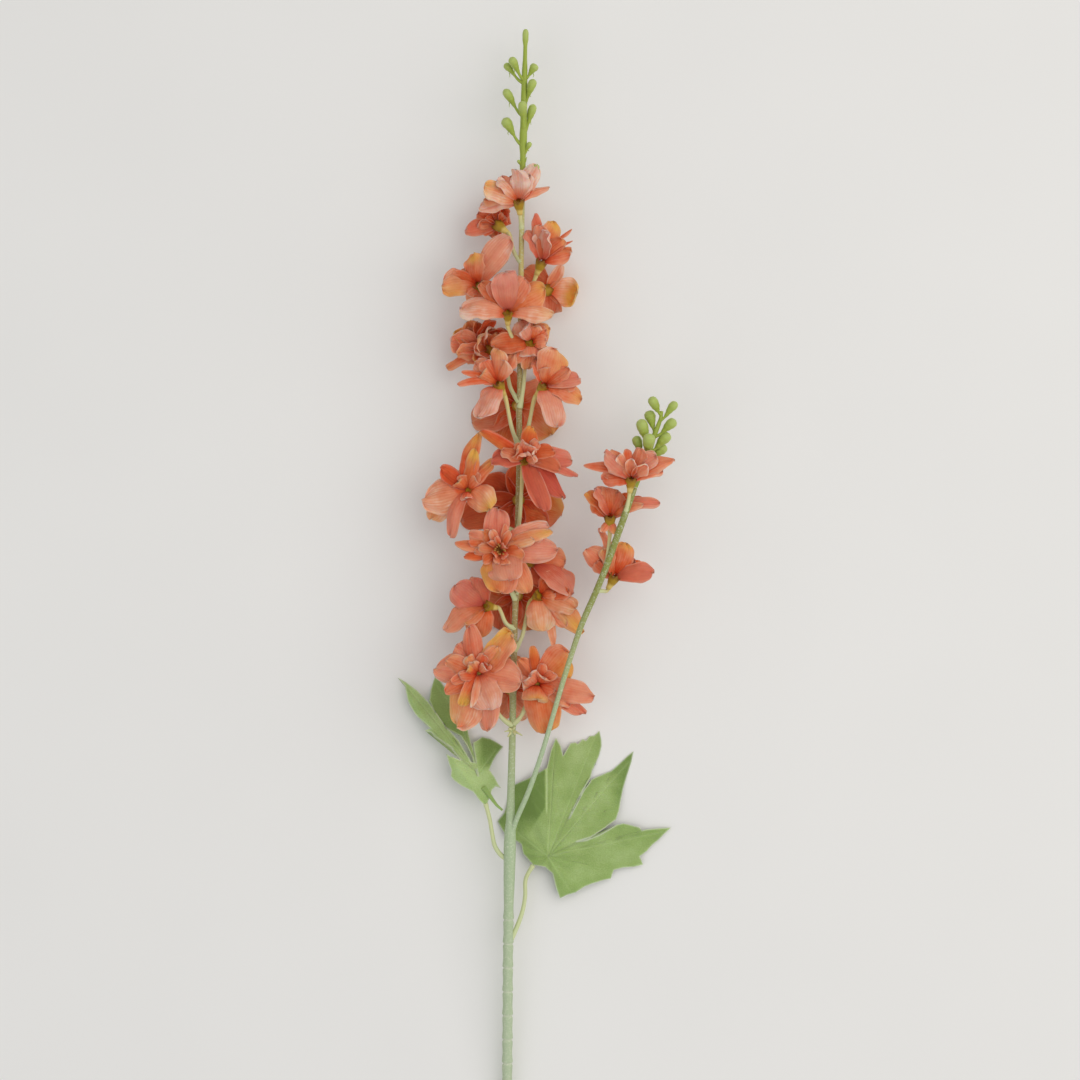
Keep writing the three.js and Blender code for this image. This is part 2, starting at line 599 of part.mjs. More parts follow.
function branchPiece(extra) {
  const stalks = SIDE_FLORETS.map(
    (floret) => stalkWithCalyx(branchCurve.getPointAt(floret.joint), floret, extra),
  );
  return fuse([turnedAlong(branchCurve, BRANCH_RADII, BUD_SIDES, extra), ...stalks]);
}

function part(name, solid, colour) {
  const material = new THREE.MeshStandardMaterial({ color: colour, roughness: 0.7, metalness: 0 });
  const mesh = new THREE.Mesh(geometryOf(solid), material);
  mesh.name = name;
  return mesh;
}

/** Every piece in the order in which it takes its room: a later one is cut clear of those before it. */
function pieces() {
  const floret = (each) => [each.name, (extra) => floretSolid(each, extra), COLOURS.petal];
  const leaf = (each) => [each.name, (extra) => leafSolid(each, extra), COLOURS.leaf];
  return [
    ['main_stem', stemPiece, COLOURS.stem],
    ['side_branch', branchPiece, COLOURS.branch],
    ['spike_tip', spikeTip, COLOURS.bud],
    ['side_tip', sideTip, COLOURS.bud],
    ...[...FLORETS, ...SIDE_FLORETS].map(floret),
    ...[RIGHT_LEAF, LEFT_LEAF].map(leaf),
  ];
}

function build() {
  const group = new THREE.Group();
  const taken = [];
  for (const [name, make, colour] of pieces()) {
    const clear = taken.reduce((rest, other) => rest.subtract(other), make(0));
    group.add(part(name, largestBody(clear), colour));
    taken.push(make(GAP));
  }
  const box = new THREE.Box3().setFromObject(group);
  const middle = box.getCenter(new THREE.Vector3());
  group.position.set(-middle.x, -middle.y, -box.min.z);
  group.updateMatrixWorld(true);
  return group;
}

export default build();
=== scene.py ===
"""An artificial delphinium stem lying on a pale board: cloth petals and leaves on moulded plastic stems."""

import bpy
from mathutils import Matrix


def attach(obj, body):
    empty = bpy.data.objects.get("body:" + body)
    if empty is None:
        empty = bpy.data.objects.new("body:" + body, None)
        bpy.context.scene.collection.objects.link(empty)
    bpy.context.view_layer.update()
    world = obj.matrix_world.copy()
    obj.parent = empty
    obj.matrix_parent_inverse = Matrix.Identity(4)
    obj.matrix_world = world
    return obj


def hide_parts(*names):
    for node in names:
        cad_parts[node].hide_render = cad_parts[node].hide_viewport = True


bl_info = {
    "name": "Delphinium Spike",
    "version": (1, 0, 0),
    "blender": (4, 5, 0),
    "location": "View3D > Sidebar > Delphinium",
    "description": "Dresses a cut artificial delphinium stem in cloth petals, cloth leaves and moulded stems",
    "category": "Object",
}

from collections import namedtuple

import bpy
import numpy as np
from mathutils import Vector

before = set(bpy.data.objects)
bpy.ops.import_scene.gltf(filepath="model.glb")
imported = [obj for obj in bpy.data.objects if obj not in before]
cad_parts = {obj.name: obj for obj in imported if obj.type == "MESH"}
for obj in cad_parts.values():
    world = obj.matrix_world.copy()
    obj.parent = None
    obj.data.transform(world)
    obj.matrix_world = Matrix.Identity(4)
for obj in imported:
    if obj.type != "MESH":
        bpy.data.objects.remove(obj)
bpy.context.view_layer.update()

# ---------------------------------------------------------------------------------------------
# The object's drawing: millimetres from the cut end, x to the right, y along the stem, z up.
# ---------------------------------------------------------------------------------------------
MM = 0.001
TO_FRAME = np.array([-21.99, -429.85, 0.0])  # from the drawing's cut end to the middle of the frame's box
VIEW_LEVEL = 0.036  # the height at which view_width is measured, among the flowers
VIEW_MIDDLE = (0.00276, 0.04695)  # where the camera looks, in the frame
# Each light's place in the frame, side and colour, in metres.
WINDOW_LIGHT = ((1.8, 0.6, 2.7), 4.4, (1.0, 0.975, 0.94))
FILL_LIGHT = ((-1.6, -1.2, 2.6), 2.8, (0.95, 0.975, 1.0))
ROOM_COLOUR = (0.9, 0.92, 0.95, 1)
ROOM_STRENGTH = 0.46
BUD_SEED, STAMEN_SEED, LEAF_SEED = 11, 5, 3

SPIKE_LENGTH = 860.0  # cut end to topmost bud
STEM_TOP = 752.0  # the bud tip is pushed on here
CANE_TOP = 200.0  # the knuckles end here
CANE_JOINT_PITCH = 18.2  # from knuckle to knuckle
CUT_END_RADIUS = 3.45
CANE_KNUCKLE = [(-1.6, 3.95), (0, 3.35), (1.4, 4.1), (CANE_JOINT_PITCH * 0.45, 3.6)]  # from the joint, radius
CANE_RING_WIDTH = 0.8  # of the ring of powder in each joint
WHORL_AT = 334.0  # the bracts under the lowest florets
WHORL_TOP = 345.0  # flower stalks that leave the main stem below this bow more
STALK_BOW = 0.1  # how far a flower stalk sags towards the cut end, as a share of its reach
WHORL_BOW = 0.15
STALK_LEAVING = 0.4  # where it sags most, as a share of its reach
STALK_NECK = 0.6  # its straight end, as a share of the calyx's length
CALYX_LENGTH = 8.0
CALYX_POINTS = 5
HUB_RADIUS = 3.1  # the hub that a floret's petals grow from
HUB_RISE = 6.2  # how far the hub stands above the middle of its calyx
OPEN_FLORETS = ("floret_15",)  # the ones whose stamens show
STAMENS = 13
GOLDEN_ANGLE = 2.399963

ROOT_DEPTH = 1.3  # how deep a petal's root is sunk in the hub
CUP_RISE = 2.4  # where on the hub a petal leaves, above the middle of the calyx
CUP_LEAN = 1.8  # how much higher that is for a petal that points along the floret's axis
LAYER_STEP = 0.3  # and for each of three layers
PETAL_CLAW = 1.9  # the least width where a petal leaves the hub
CLAW_SHARE = 0.3  # the same, as a share of the petal's width
PETAL_END = 0.5  # width of a petal's very end
PETAL_ROLL = 0.25  # the most that a petal is turned about its own length, in radians
PETAL_OPENNESS = 0.62  # 0 turns a petal's face to its floret's axis, 1 turns it straight up
PETAL_WIDEST = 0.6  # how far along a petal is widest
PETAL_SHOULDER = 0.8  # how late it broadens
PETAL_ARCH = 0.55  # how strongly a petal leaves along its floret's axis
NARROW_PETAL = 10.0  # petals under this width are plain straps
FULL_PETAL = 20.0  # petals from this width on have their full pleats and ruffle
INNER_REACH = 19.0  # petals shorter than this are inner ones
FLOOR_LAYERS = 5  # petals that lie on the board are stacked in layers, so that none shines through another
FLOOR_LAYER_GAP = 0.5
FLOOR_GAP = 0.12  # under the lowest layer
LEAST_HEIGHT = 0.02  # nothing reaches the board itself
HIDDEN_PETALS = 6
HIDDEN_SHARE = 0.7  # their reach, as a share of the drawn petals'
PETAL_GRID = (24, 9)  # rows along a petal, and columns on each side of its middle
STRAP_GRID = (16, 4)  # the same for a narrow one
EDGE_CROWDING = 0.92  # how strongly the columns crowd towards the edges
CRUMPLE_HEIGHT = 0.58
CRUMPLE_LENGTHS = (1.9, 3.3, 2.9)  # across, of its bends, and along

# Ranges of each petal's own draws: shares of its length or width, radians, and waves along or across it.
NOTCH = (-0.02, 0.05)
SKEW = (-0.06, 0.06)
OUTLINE_WAVES = (1.2, 2.2)
OUTLINE_RIPPLES = (3, 4)
WIDEST_SHIFT = (0, 0.1)
FULLNESS = (2.1, 2.7)
TWIST = (-0.55, 0.55)
SWEEP = (-0.05, 0.05)
PLEATS = (2.2, 3.4)
FINE_PLEATS = (5, 7)
RUFFLES = (1.3, 2.4)
RUFFLE_OFFSET = (1, 4)  # how far its two edges are out of step
END_RUFFLES = (1.5, 2.8)
INNER_CUP = (0.25, 0.75)
NARROW_CUP = (0.05, 0.4)
OUTER_CUP = (-0.03, 0.38)
EDGE_ROLL = (-0.15, 0.5)
CREASE = (0.2, 0.9)
CURL = (-0.35, 1.0)
PALENESS_SHIFT = (-0.07, 0.07)
HIDDEN_OPENING = (0.85, 1.15)
HIDDEN_REACH = (0.85, 1.1)
HIDDEN_WIDTH = (11, 15)
HIDDEN_PALENESS = (0.2, 0.45)
HIDDEN_OCHRE = (0, 0.3)
# The same for stamens, buds and whiskers, some in millimetres.
STAMEN_TURN = (-0.2, 0.2)
STAMEN_LENGTH = (8.0, 10.5)
BUD_SHOULDER_SHARE = (0.94, 1.06)
BUD_FLATNESS = (0.84, 0.95)
WHISKER_ASIDE = (-0.8, 0.8)
WHISKER_HANG = (3, 5.5)

# How many rings and sides each tube has.
FINENESS = {
    "cane": (1300, 24), "branch": (561, 20), "tip": (120, 16), "branch tip": (121, 14), "stalk": (60, 12),
    "leaf stalk": (80, 14), "bud": (44, 16), "whisker": (14, 8), "stamen": (8, 6), "strip": (20, 12),
}
STEM_LINE_POINTS = 1721
FINE_STEPS = 60  # points worked out on a curve for each one given
CALYX_SIDES = 40
HUB_SIDES = 14

# Radii along a tube, each at a share of its length.
STALK_RADII = [(0, 2.3), (0.08, 2.1), (0.2, 1.55), (0.6, 1.4), (0.8, 1.7), (1, 2.3)]
LEAF_STALK_RADII = [(0, 2.1), (0.12, 1.8), (0.6, 1.55), (0.9, 1.6), (1, 1.9)]
BRANCH_RADII = [(0, 2.3), (0.06, 1.95), (0.3, 1.8), (0.5, 2.0), (0.7, 2.35), (0.9, 2.5), (1, 2.5)]
BRANCH_TIP_RADII = [(0, 2.5), (0.3, 2.2), (0.7, 1.9), (1, 1.3)]
TIP_RADII = [
    (0, 2.2), (0.12, 2.2), (0.2, 2.9), (0.26, 2.9), (0.34, 2.5), (0.5, 2.45), (0.7, 2.1), (0.82, 1.55), (0.88, 1.5),
    (0.93, 2.25), (0.97, 2.35), (0.99, 1.9), (1, 0.9),
]
STAMEN_RADII = [0.45, 0.4, 0.36, 0.36, 0.36, 0.6, 0.75, 0.4]
# A bud: how far back from its tip, as a share of its length, and the radius there, as a share of its width.
BUD_FOOT = (1.0, 0.26)
BUD_SHOULDER = (0.7, 0.42)
BUD_END = [(0.42, 0.52), (0.2, 0.49), (0.08, 0.36), (0.02, 0.19), (0, 0.06)]
BUD_NECK = 1.3  # how far back its stalk ends
BUD_STALK_RADII = (1.7, 1.15)  # at the stem and at the neck
# Turned profiles from the foot up: height on the axis, radius, how far the rim's points rise, and tone.
CALYX_PROFILE = [
    (-7.0, 2.0, 0, 0), (-5.0, 2.2, 0, 0.1), (-3.4, 2.6, 0, 0.3), (-2.0, 3.1, 0, 0.5), (-0.6, 3.6, 0.1, 0.62),
    (0.8, 4.0, 0.5, 0.75), (2.2, 4.4, 1.4, 0.9), (3.4, 4.8, 2.8, 1), (3.6, 4.5, 2.7, 1), (3.3, 3.8, 0.8, 0.9),
    (3.1, 2.7, 0, 0.8), (3.0, 0.6, 0, 0.8),
]
HUB_PROFILE = [(-5.0, 1.4), (-4.0, 1.5), (-3.0, 1.5), (-2.0, 1.3), (-1.4, 0.8), (-1.1, 0.3)]

# The stem's axis at each tenth of its length, then its radii above the knuckles, each at a distance along it.
STEM_SIDEWAYS = [-0.4, 0.1, 0.75, 2.3, 4.3, 6.2, 8.7, 9.6, 10.7, 12.1, 14]
STEM_HEIGHT = [3.57, 11, 18.5, 25, 30, 33, 34.5, 35, 35, 35, 35.5]
STEM_RADII = [
    (218, 4.1), (224, 4.3), (246, 4.6), (256, 4.3), (268, 3.3), (292, 2.8), (320, 2.6), (380, 2.3), (424, 2.15),
    (500, 2.1), (582, 2.0), (660, 2.0), (720, 2.0), (752, 2.1),
]
BRANCH_PATH = [
    (2.6, 252, 24.6), (5.6, 263, 28), (16.5, 289, 36), (27, 320, 44.5), (42.8, 374, 53.5), (56, 414, 56.5),
    (66, 437, 57), (75.8, 461, 57), (81.8, 478, 57), (89.3, 499, 57), (95, 516, 56.5),
]
BRANCH_TIP_PATH = [(95.2, 516.5, 56.5), (106, 542, 56), (110, 554.8, 56), (114.8, 567.5, 56), (115.5, 573, 56)]

Petal = namedtuple("Petal", "x y z width pale ochre side", defaults=(0, 0))
Floret = namedtuple("Floret", "name calyx faces joint petals extra")

# Each petal: where its tip is from the middle of the calyx, its width, how pale its dye is from 0 to 1, how much
# ochre it has (or, below 0, how much dusty rose), and on which side that is: left (1), neither (0) or right (-1).
# The first list has the petals that the solid model has too, in its order, a few of them a little wider or turned.
# The second has small inner, covering and back ones. A floret's joint is where its stalk leaves the main stem, in
# millimetres, or the side branch, as a share of its length.
FLORETS = [
    ("floret_05", (0.75, 644, 53), (0, 0.75, 0.45), 618, [
        (-36, 9, 4, 25, .68, -.15), (-1.5, 33, 12, 23, .5, -.6), (34.5, 2, 2, 16, .62, .6),
        (28, 21, -2, 23, .55, .35, .3), (-19, 28, -4, 19, .42, .1)], [
        (14, 28, 3, 15, .4, -.2), (-13, 25, 5, 14, .45, -.2)]),
    # floret_12's petals have the darkest dye of all, which partly paints the shade that the floret lies in.
    ("floret_12", (13, 535, 54), (0.1, 0.5, 0.6), 480, [
        (36, 1.5, 4, 16, .22, -.4), (40, -11, 2, 7, .25, -.35), (29, -28, -4, 15, -.04, -.25),
        (15, -37, 4, 14, .02, -.27), (-25, 2, 4, 16, .08, -.3), (-16, 11, 8, 14, .3, -.15), (3, 12, 12, 14, .45)], [
        (23, 9, 8, 12, .35), (10, 15, 9, 10, .4), (-6, 14, 6, 9, .35), (-33, 23.5, 2, 9, .2, .6, 1),
        (27, -6, 8, 11, .2, -.15), (2, 7, 15, 13, .45), (-5, 8, 13, 11, .4), (7, 5, 15, 10, .5)]),
    ("floret_15", (-5, 468.5, 50), (0, 0.1, 1), 432, [
        (36, 18, 6, 19, .62, -.25), (43, 1, 2, 21, .6, -.3), (6, -22.5, 12, 27, .5, -.35),
        (0, -32, 6, 27, .52, .85, -.9), (22, -32, 2, 18, .55, .1), (-34, 6, 6, 9, .5), (-24, 12, 10, 14, .5, -.2),
        (-2, 33, 8, 19, .48, -.35), (-5, 16, 15, 7, .5), (-16, 2, 13, 9, .45)], [
        (25, 10, 12, 9, .7, .5, -.8), (4.5, 20, 14, 5, .4), (18, -4, 12, 10, .45, .5), (39, 15, 9, 9, .6, .8),
        (-13, 14, 12, 11, .42), (8, 15, 15, 6, .5), (-13, -7, 12, 9, .35), (5, -10, 13, 9, .4, .1),
        (-19, -2, 10, 9, .4, .05), (-27, -4, 6, 8, .3), (-24, 6, 10, 8, .32), (12, -9, 11, 8, .5, .6),
        (15, 2, 12, 7, .35), (-3, 11, 17, 4, .4), (-9, 7, 15, 5, .45), (-2, -9, 13, 7, .4), (3, 4, 18, 6, .3, -.2),
        (-4, -2, 17, 6, .3), (4, -4, 16, 6, .25)]),
    ("floret_20", (-21, 378, 52), (0, -0.1, 1), 337, [
        (-7.5, 36, 6, 15, .5, -.15), (25, 30, 4, 21, .5, .85, .9), (-33, 3, 2, 25, .58, -.22),
        (-16, -41, 0, 27, .6, .7, -1), (8, -43, -2, 20, .63, -.2), (10, -28, 12, 25, .62, -.3),
        (31.5, -7, 6, 25, .58, -.25), (-17, 20, 2, 20, .5, -.15), (-8, 12, 14, 10, .45, .4)], [
        (4, 14, 14, 9, .42), (-14, -2, 13, 9, .45, .1), (-4.5, -26, 14, 5.5, .72, .3), (-12, -26, 9, 11, .45, 1.2),
        (-4, 7, 16, 9, .5, .2), (4, 5, 17, 7, .6), (-7, 3, 15, 8, .4, .9), (-25, -16, 8, 12, .4), (8, 6, 15, 8, .4),
        (-20, -8, 10, 10, .42, .1), (14, 20, 10, 12, .5, .3), (-24, 10, 8, 14, .5, .1)]),
    ("floret_21", (22, 369, 40), (0.3, 0.1, 0.8), 338, [
        (-3, 28.5, 6, 8, .3, .5), (26, 24, -2, 28, .45, .9, -.7), (44, -9, 0, 18, .5, -.25),
        (36, -23, -6, 12, .42, -.25), (7.5, -37, 2, 28, .45, .4, .8), (-13, 19, 6, 12, .5),
        (-11, 2, 9, 13, .55, .05)], [
        (1, -11, 13, 22, .5, .6), (-3, 6, 15, 13, .45, .2), (6, 5, 15, 12, .5), (4, 15, 12, 9, .4, .2),
        (14, 8, 13, 9, .45), (14, -4, 10, 11, .45), (27, -14, 2, 15, .5)]),
    ("floret_01", (9, 727, 44), (-0.1, 0.85, 0.3), 711, [
        (-1, 27, 6, 16, .86, -.35), (14, 31, -3, 14, .8, -.2), (-26, 13.5, 4, 19, .78, .6, -.5),
        (23, 13.5, -5, 7, .6, -.2), (-30, -1, -6, 13, .66, -.2), (-12, 23, -4, 15, .65, -.2)], [
        (-16, 20, 3, 12, .7, .1), (8, 24, 2, 13, .76, -.3), (-27, 6, -1, 12, .5, .1)]),
    ("floret_03", (24.75, 682, 38), (0.35, 0.85, 0.2), 652, [
        (-10.5, 27, -2, 13, .42, -.3), (-4.5, 39, -6, 9, .35, -.25), (12, 35, -8, 16, .5, .8, -.3),
        (24, 28, -3, 3.5, .35), (24, 19.5, 3, 3.5, .35), (24, 10, 6, 13, .5, .5, .5), (6, 26, 7, 18, .66, -.4),
        (20, 13, -10, 13, .25)], [
        (18, 20, 4, 12, .5, .2), (0, 31, 2, 11, .45, -.2)]),
    ("floret_04", (-20, 666, 38), (-0.5, 0.6, 0.4), 650, [
        (23, 38, 4, 20, .68, -.35), (-3, 25.5, 3, 17, .6, 1, .2), (-18, 14.5, -8, 13, .25),
        (-29, 1, 5, 21, .6, .8, .8), (-6, -14, -8, 14, .4)], [
        (-22, 9, 3, 13, .42, .1), (8, 20, 1, 11, .35, .1), (-12, -4, 4, 12, .45, .1)]),
    ("floret_09", (-5, 591, 46), (-0.35, 0.7, 0.3), 547, [
        (-2, 29, 6, 15, .6, .6), (10.5, 27, 0, 12, .5, .1), (-20, 19, -2, 15, .6), (-29, 11, 2, 5, .4),
        (-32, 1.5, 5, 5.5, .4), (-15, -24, 8, 20, .63, -.3)], [
        (4, 20, 8, 12, .55, .3), (-12, 20, 4, 12, .5, .1), (-14, 10, 6, 12, .45)]),
    ("floret_10", (26, 590, 44), (0.4, 0.5, 0.3), 546, [
        (12.5, 29.5, 5, 25, .62, .7, -.9), (-4.5, 23, 2, 13, .5), (29, 8, 7, 12, .5, -.4), (31, -7, 0, 16, .5, .6),
        (13, -28.5, 10, 20, .67, -.35)], [
        (20, 16, 4, 14, .5, .1), (4, 16, 7, 11, .55, .1)]),
    ("floret_13", (-28, 513.5, 44), (-0.35, 0.2, 0.7), 482, [
        (-34.5, -7, -2, 27, .68, .2, .9), (-15, -35, 4, 11, .5, -.35), (16, -14, 12, 22, .6, .55),
        (-16, 15, 2, 14, .5, .8), (7, 44, 4, 13, .4, .8), (19, 22, 6, 11, .4, .6)], [
        (-6, 12, 9, 9, .4, .2), (8, 13, 8, 9, .35), (-30, -22, -8, 18, .6, .6), (-8, 7, 11, 10, .42, .2),
        (5, 9, 12, 9, .4, .2), (-3, -6, 11, 9, .5), (5, 31, 9, 10, .4, .9)]),
    ("floret_17", (-13.5, 427, 42), (-0.6, 0.1, 0.4), 410, [
        (-25.5, 16.5, 2, 22, .4, -.5), (-11, 22, -2, 18, .32, -.4), (-34, -18, -2, 15, .62, -.2),
        (-25, -1, -8, 14, .5), (-8, -25, -2, 20, .5, .1)], [
        (-18, -12, 2, 12, .5, .05)]),
    ("floret_18", (22.5, 434, 37), (0.5, 0.35, 0.6), 393, [
        (6, -25.5, 7, 25, .72, .3, -.6), (13.5, -37, 0, 8, .55), (35, -25.5, -2, 17, .58, .8, -.3),
        (30, -7.5, 4, 18, .64, .1), (16, 14, -4, 16, .48)], [
        (22, -22, 2, 14, .5, .1), (14, 4, 6, 12, .45)]),
    ("floret_08", (17, 623, 42), (0.2, 0.5, 0.5), 576, [
        (-5, 20, 4, 19, .65, -.4), (16, 12, -2, 15, .6, .7), (12, -14, 0, 17, .5), (-12, -6, 2, 14, .5)], [
        (3, 13, 9, 13, .55), (12, 4, 8, 12, .5, .1), (-15, -14, 4, 12, .45, .2), (-2, -19, 2, 12, .45, .1),
        (1, -9, 9, 16, .5), (-3, 14, 13, 13, .6, -.4), (-16, 6, -1, 15, .4), (-12, 14, 1, 14, .42),
        (-29, -1, 1, 16, .35, .1), (-24, 7, -4, 14, .3)]),
    ("floret_07", (-11, 619, 25), (-0.75, 0.3, -0.1), 580, [
        (-32, 9, 2, 18, .55, .1), (-34.5, -13, -6, 9, .45, .3), (-22, 20, -2, 18, .5, .6), (-3, 19, 5, 17, .6, .1),
        (-12, -3, 10, 14, .6, .2), (-20, -6, -12, 16, .4, .5)], [
        (-10, 10, 12, 17, .5, .1), (-29, 14, 0, 15, .45, .5), (-13, 22, -2, 16, .35, .1), (-27, -3, 4, 15, .5, .3),
        (2, 13, 9, 16, .45), (8, 18, 2, 16, .2), (-2, 24, 0, 15, .3), (10, 5, 5, 13, .2), (-14, -9, 2, 14, .4, .5)]),
    ("floret_16", (17, 460, 32), (0.6, 0.1, 0.1), 436, [
        (34, -22.5, 5.5, 28, .4, -.35), (26, 0, -4, 20, .5), (12, -20, -8, 18, .3, -.2), (14, 16, -6, 16, .47)], []),
    ("floret_02", (-4.5, 711.5, 28), (-0.6, 0.5, -0.4), 685, [
        (-27, -2, -2, 12, .36, -.35), (-18, 11, -8, 16, .4), (4, 14, -10, 16, .3), (-10, -4, -16, 14, .3)], [
        (-18, 3, -1, 12, .42, -.1), (-8, 11, -2, 13, .35), (1, 9, -3, 11, .3)]),
    ("floret_06", (28, 664, 20), (0.5, 0.2, -0.6), 630, [
        (26, -2, -2, 22, .7, 1.4, -.3), (13, 20, 2, 9, .7), (4, -16, -12, 18, .5), (-15, 17, -12, 20, .5)], []),
    ("floret_11", (8, 578, 14), (0, 0.1, -1), 549, [
        (-35, -12, -15, 26, .5, .15), (-13, -28, -15, 22, .4, .1), (26, -22, -15, 28, .6, .3),
        (24, 16, -15, 22, .5, .1), (-12, 26, -15, 22, .4, .1)], []),
    ("floret_14", (8.5, 507, 14), (0, 0, -1), 473, [
        (32.5, -12, -15, 31, .3, .6, .9), (-44.5, -15, -15, 27, .1, -.1), (-28.5, 14, -15, 24, .1, -.05),
        (18.5, -28, -15, 24, .2, -.1), (1.5, 26, -15, 24, .1)], [
        (-12, -28, -14, 24, .1, -.1)]),
    ("floret_19", (7.5, 435, 14), (0, 0, -1), 405, [
        (-13, -26, -15, 24, .42, .2), (14, -26, -15, 24, .42, .2), (-26, 8, -15, 24, .35, .1),
        (26, 10, -15, 24, .35, .1)], [
        (2, 27, -15, 20, .35, .1)]),
    ("floret_22", (3, 364, 14), (0, 0, -1), 338, [
        (-11, -19, -15, 24, .62, .3), (15, -19, -15, 24, .62, .3), (-24, 14, -15, 22, .5, .1),
        (22, 18, -15, 22, .5, .1)], [
        (0, 25, -15, 20, .5, .1)]),
]
SIDE_FLORETS = [
    ("side_floret_1", (92.3, 518.8, 63), (0.1, 0.9, 0.25), 0.93, [
        (-35, 13, -2, 8, .45), (-20, 23, 4, 15, .6, -.4), (-22, 11, -4, 15, .42), (-2.5, 26, 0, 7, .4),
        (7.5, 26.5, 4, 13, .55, -.1), (19, 21, 6, 14, .6, -.35), (33, 19, 0, 12, .45, .05)], [
        (-13.5, 26.5, -2, 7, .5), (-9, 21, 6, 10, .62), (1, 18, 9, 9, .6), (-22, 3, 1, 13, .5, .1),
        (24, 11, 1, 13, .5, .05), (12, 15, 9, 10, .6)]),
    ("side_floret_2", (77, 490.3, 52), (0, 0.9, 0.2), 0.78, [
        (-18, 22, 2, 12, .36, .45, .6), (-9.5, 26, 6, 16, .42, -.3), (7, 24, 0, 15, .42, -.2),
        (37.5, 15, -6, 10, .45, -.35), (-6, -8, 4, 6, .5), (25, 19, -8, 13, .38, -.25)], [
        (-1, 26, 3, 15, .45, .05), (4, -9, 5, 6, .5, .7), (25, 14, 0, 9, .5)]),
    ("side_floret_3", (79, 446.3, 46), (0.45, 0.8, 0.2), 0.71, [
        (-9.5, 39, -4, 13, .52, -.2), (-20, 24, 2, 17, .45, -.15), (11, 29, -3, 16, .5, .9),
        (31.5, 7, 2, 15, .3, -.4), (16.5, 15, -6, 13, .3, -.2)], [
        (-7, 24, 5, 13, .5, .3), (-13, 14, 3, 13, .38, -.1)]),
]
FLORETS = [Floret(*row) for row in FLORETS]
SIDE_FLORETS = [Floret(*row) for row in SIDE_FLORETS]

# Buds: middle, place where the stalk leaves (again in millimetres or as a share), width and length.
SPIKE_BUDS = [
    ((5.7, 833.3, 39), 821, 7.0, 11), ((1.8, 830.6, 33), 819, 6.4, 9.5), ((19.4, 830, 36), 822, 7.4, 8),
    ((18, 816.3, 38), 803, 7.2, 11.5), ((1.9, 809, 37), 794, 7.4, 12.6), ((11.8, 798.4, 43), 784, 6.6, 13.6),
    ((18, 797.2, 34), 780, 6.8, 12.5), ((1.2, 787.6, 36), 772, 8.6, 12), ((16, 772, 37), 765, 4.2, 6.5),
    ((9.2, 760, 36), 756, 2.6, 4), ((20.6, 754.2, 37), 738, 6.2, 9),
]
SIDE_BUDS = [
    ((110.3, 578, 58), 0.95, 8.0, 11.5), ((122.5, 575, 56), 0.88, 7.6, 11.5), ((121, 562.3, 57), 0.66, 8.6, 11.5),
    ((107.5, 567.5, 52), 0.72, 8.2, 11.5), ((101.8, 559.5, 58), 0.5, 9.6, 14), ((116.5, 551.5, 54), 0.46, 9.4, 12.5),
    ((98, 548.8, 52), 0.34, 7.6, 11), ((105.5, 549.3, 64), 0.3, 9, 13), ((114, 543.2, 50), 0.3, 9, 12),
]

WHISKERED_BUDS = 8  # the first ones have a whisker underneath
WHISKER_RADIUS = 0.38
WHISKER_END = 0.25  # where its straight taper ends
# Two stubs on the bud tip: places along the stem, and how far aside of it they are.
TIP_STUBS = [
    [(768, (0, 0, 0)), (769, (2.0, 1, 1)), (770, (4.5, -1.5, 1))],
    [(757, (0, 0, 0)), (758, (1.8, 2, 1)), (760, (3.0, 4, 1))],
]
TIP_STUB_RADIUS = 0.7

# The whorl of bracts under the lowest florets: how far each reaches and its radius.
WHORL_BRACTS = [
    (np.array([7.5, -4.0, 3.0]), 1.1), (np.array([-3.5, -5.0, 2.5]), 1.4), (np.array([-6.0, -1.0, 3.0]), 1.0),
    (np.array([2.5, -3.5, 4.0]), 1.4), (np.array([-3.0, 1.5, 4.0]), 1.6), (np.array([2.0, 2.5, 4.5]), 1.4),
]

Leaf = namedtuple("Leaf", "heart outline veins stalk")
RIGHT_LEAF = Leaf(
    (30.8, 238.3), [
        (19.5, 231.5), (12, 240), (10.5, 247.3), (-1.5, 254), (-7.5, 264), (-2.3, 270.5), (4.5, 291.5), (17.3, 297.5),
        (30, 305), (33, 318), (36.8, 327.5), (40.5, 321), (42.2, 314), (48, 323.5), (52, 323.8), (53.2, 322.8),
        (57.2, 326.3), (59.4, 325.2), (62.2, 328.6), (65.6, 328.9), (69.8, 332.4), (71.2, 326), (71.4, 321),
        (69.6, 314), (67, 308), (64.4, 303), (63, 297), (56.9, 287.4), (51.4, 276.4), (46.9, 266.8), (51.9, 276.1),
        (57.5, 287.1), (64, 296.1), (73.6, 300.2), (78.6, 302.2), (84.8, 307.6), (91, 313.6), (95.6, 317), (94, 309),
        (92.4, 304), (90, 296.6), (87.8, 289), (86.2, 281.6), (84.6, 272.6), (82.4, 265.8), (74, 259.4), (64, 252.8),
        (52.5, 249.3), (60, 250.1), (70, 254.3), (77.6, 258.6), (83, 261.8), (88, 262.8), (93.8, 261.4),
        (99.6, 259.8), (102.2, 257.2), (104.6, 258), (114, 258.8), (123.8, 259.3), (118.4, 254.2), (114.6, 250.2),
        (109.6, 246.2), (105.4, 241.4), (100.2, 237.6), (101.6, 234.6), (102.8, 231.5), (95.6, 229.6), (88, 229.2),
        (80.7, 227.4), (79.4, 224.2), (78.6, 221), (71.6, 219.4), (65, 217.4), (58.5, 215), (51.6, 210.6),
        (45, 208.6), (39.8, 206), (37.4, 213), (35.8, 219), (34.5, 224.8), (28.5, 230)],
    [(36, 322), (66, 326), (92, 309), (117, 256), (47, 213), (0, 262)],
    [(2.9, 176, 18.6), (5.5, 181, 17.5), (11.3, 196, 14), (13.5, 208, 12), (14, 221, 11.6), (19.5, 231.5, 12.2)])
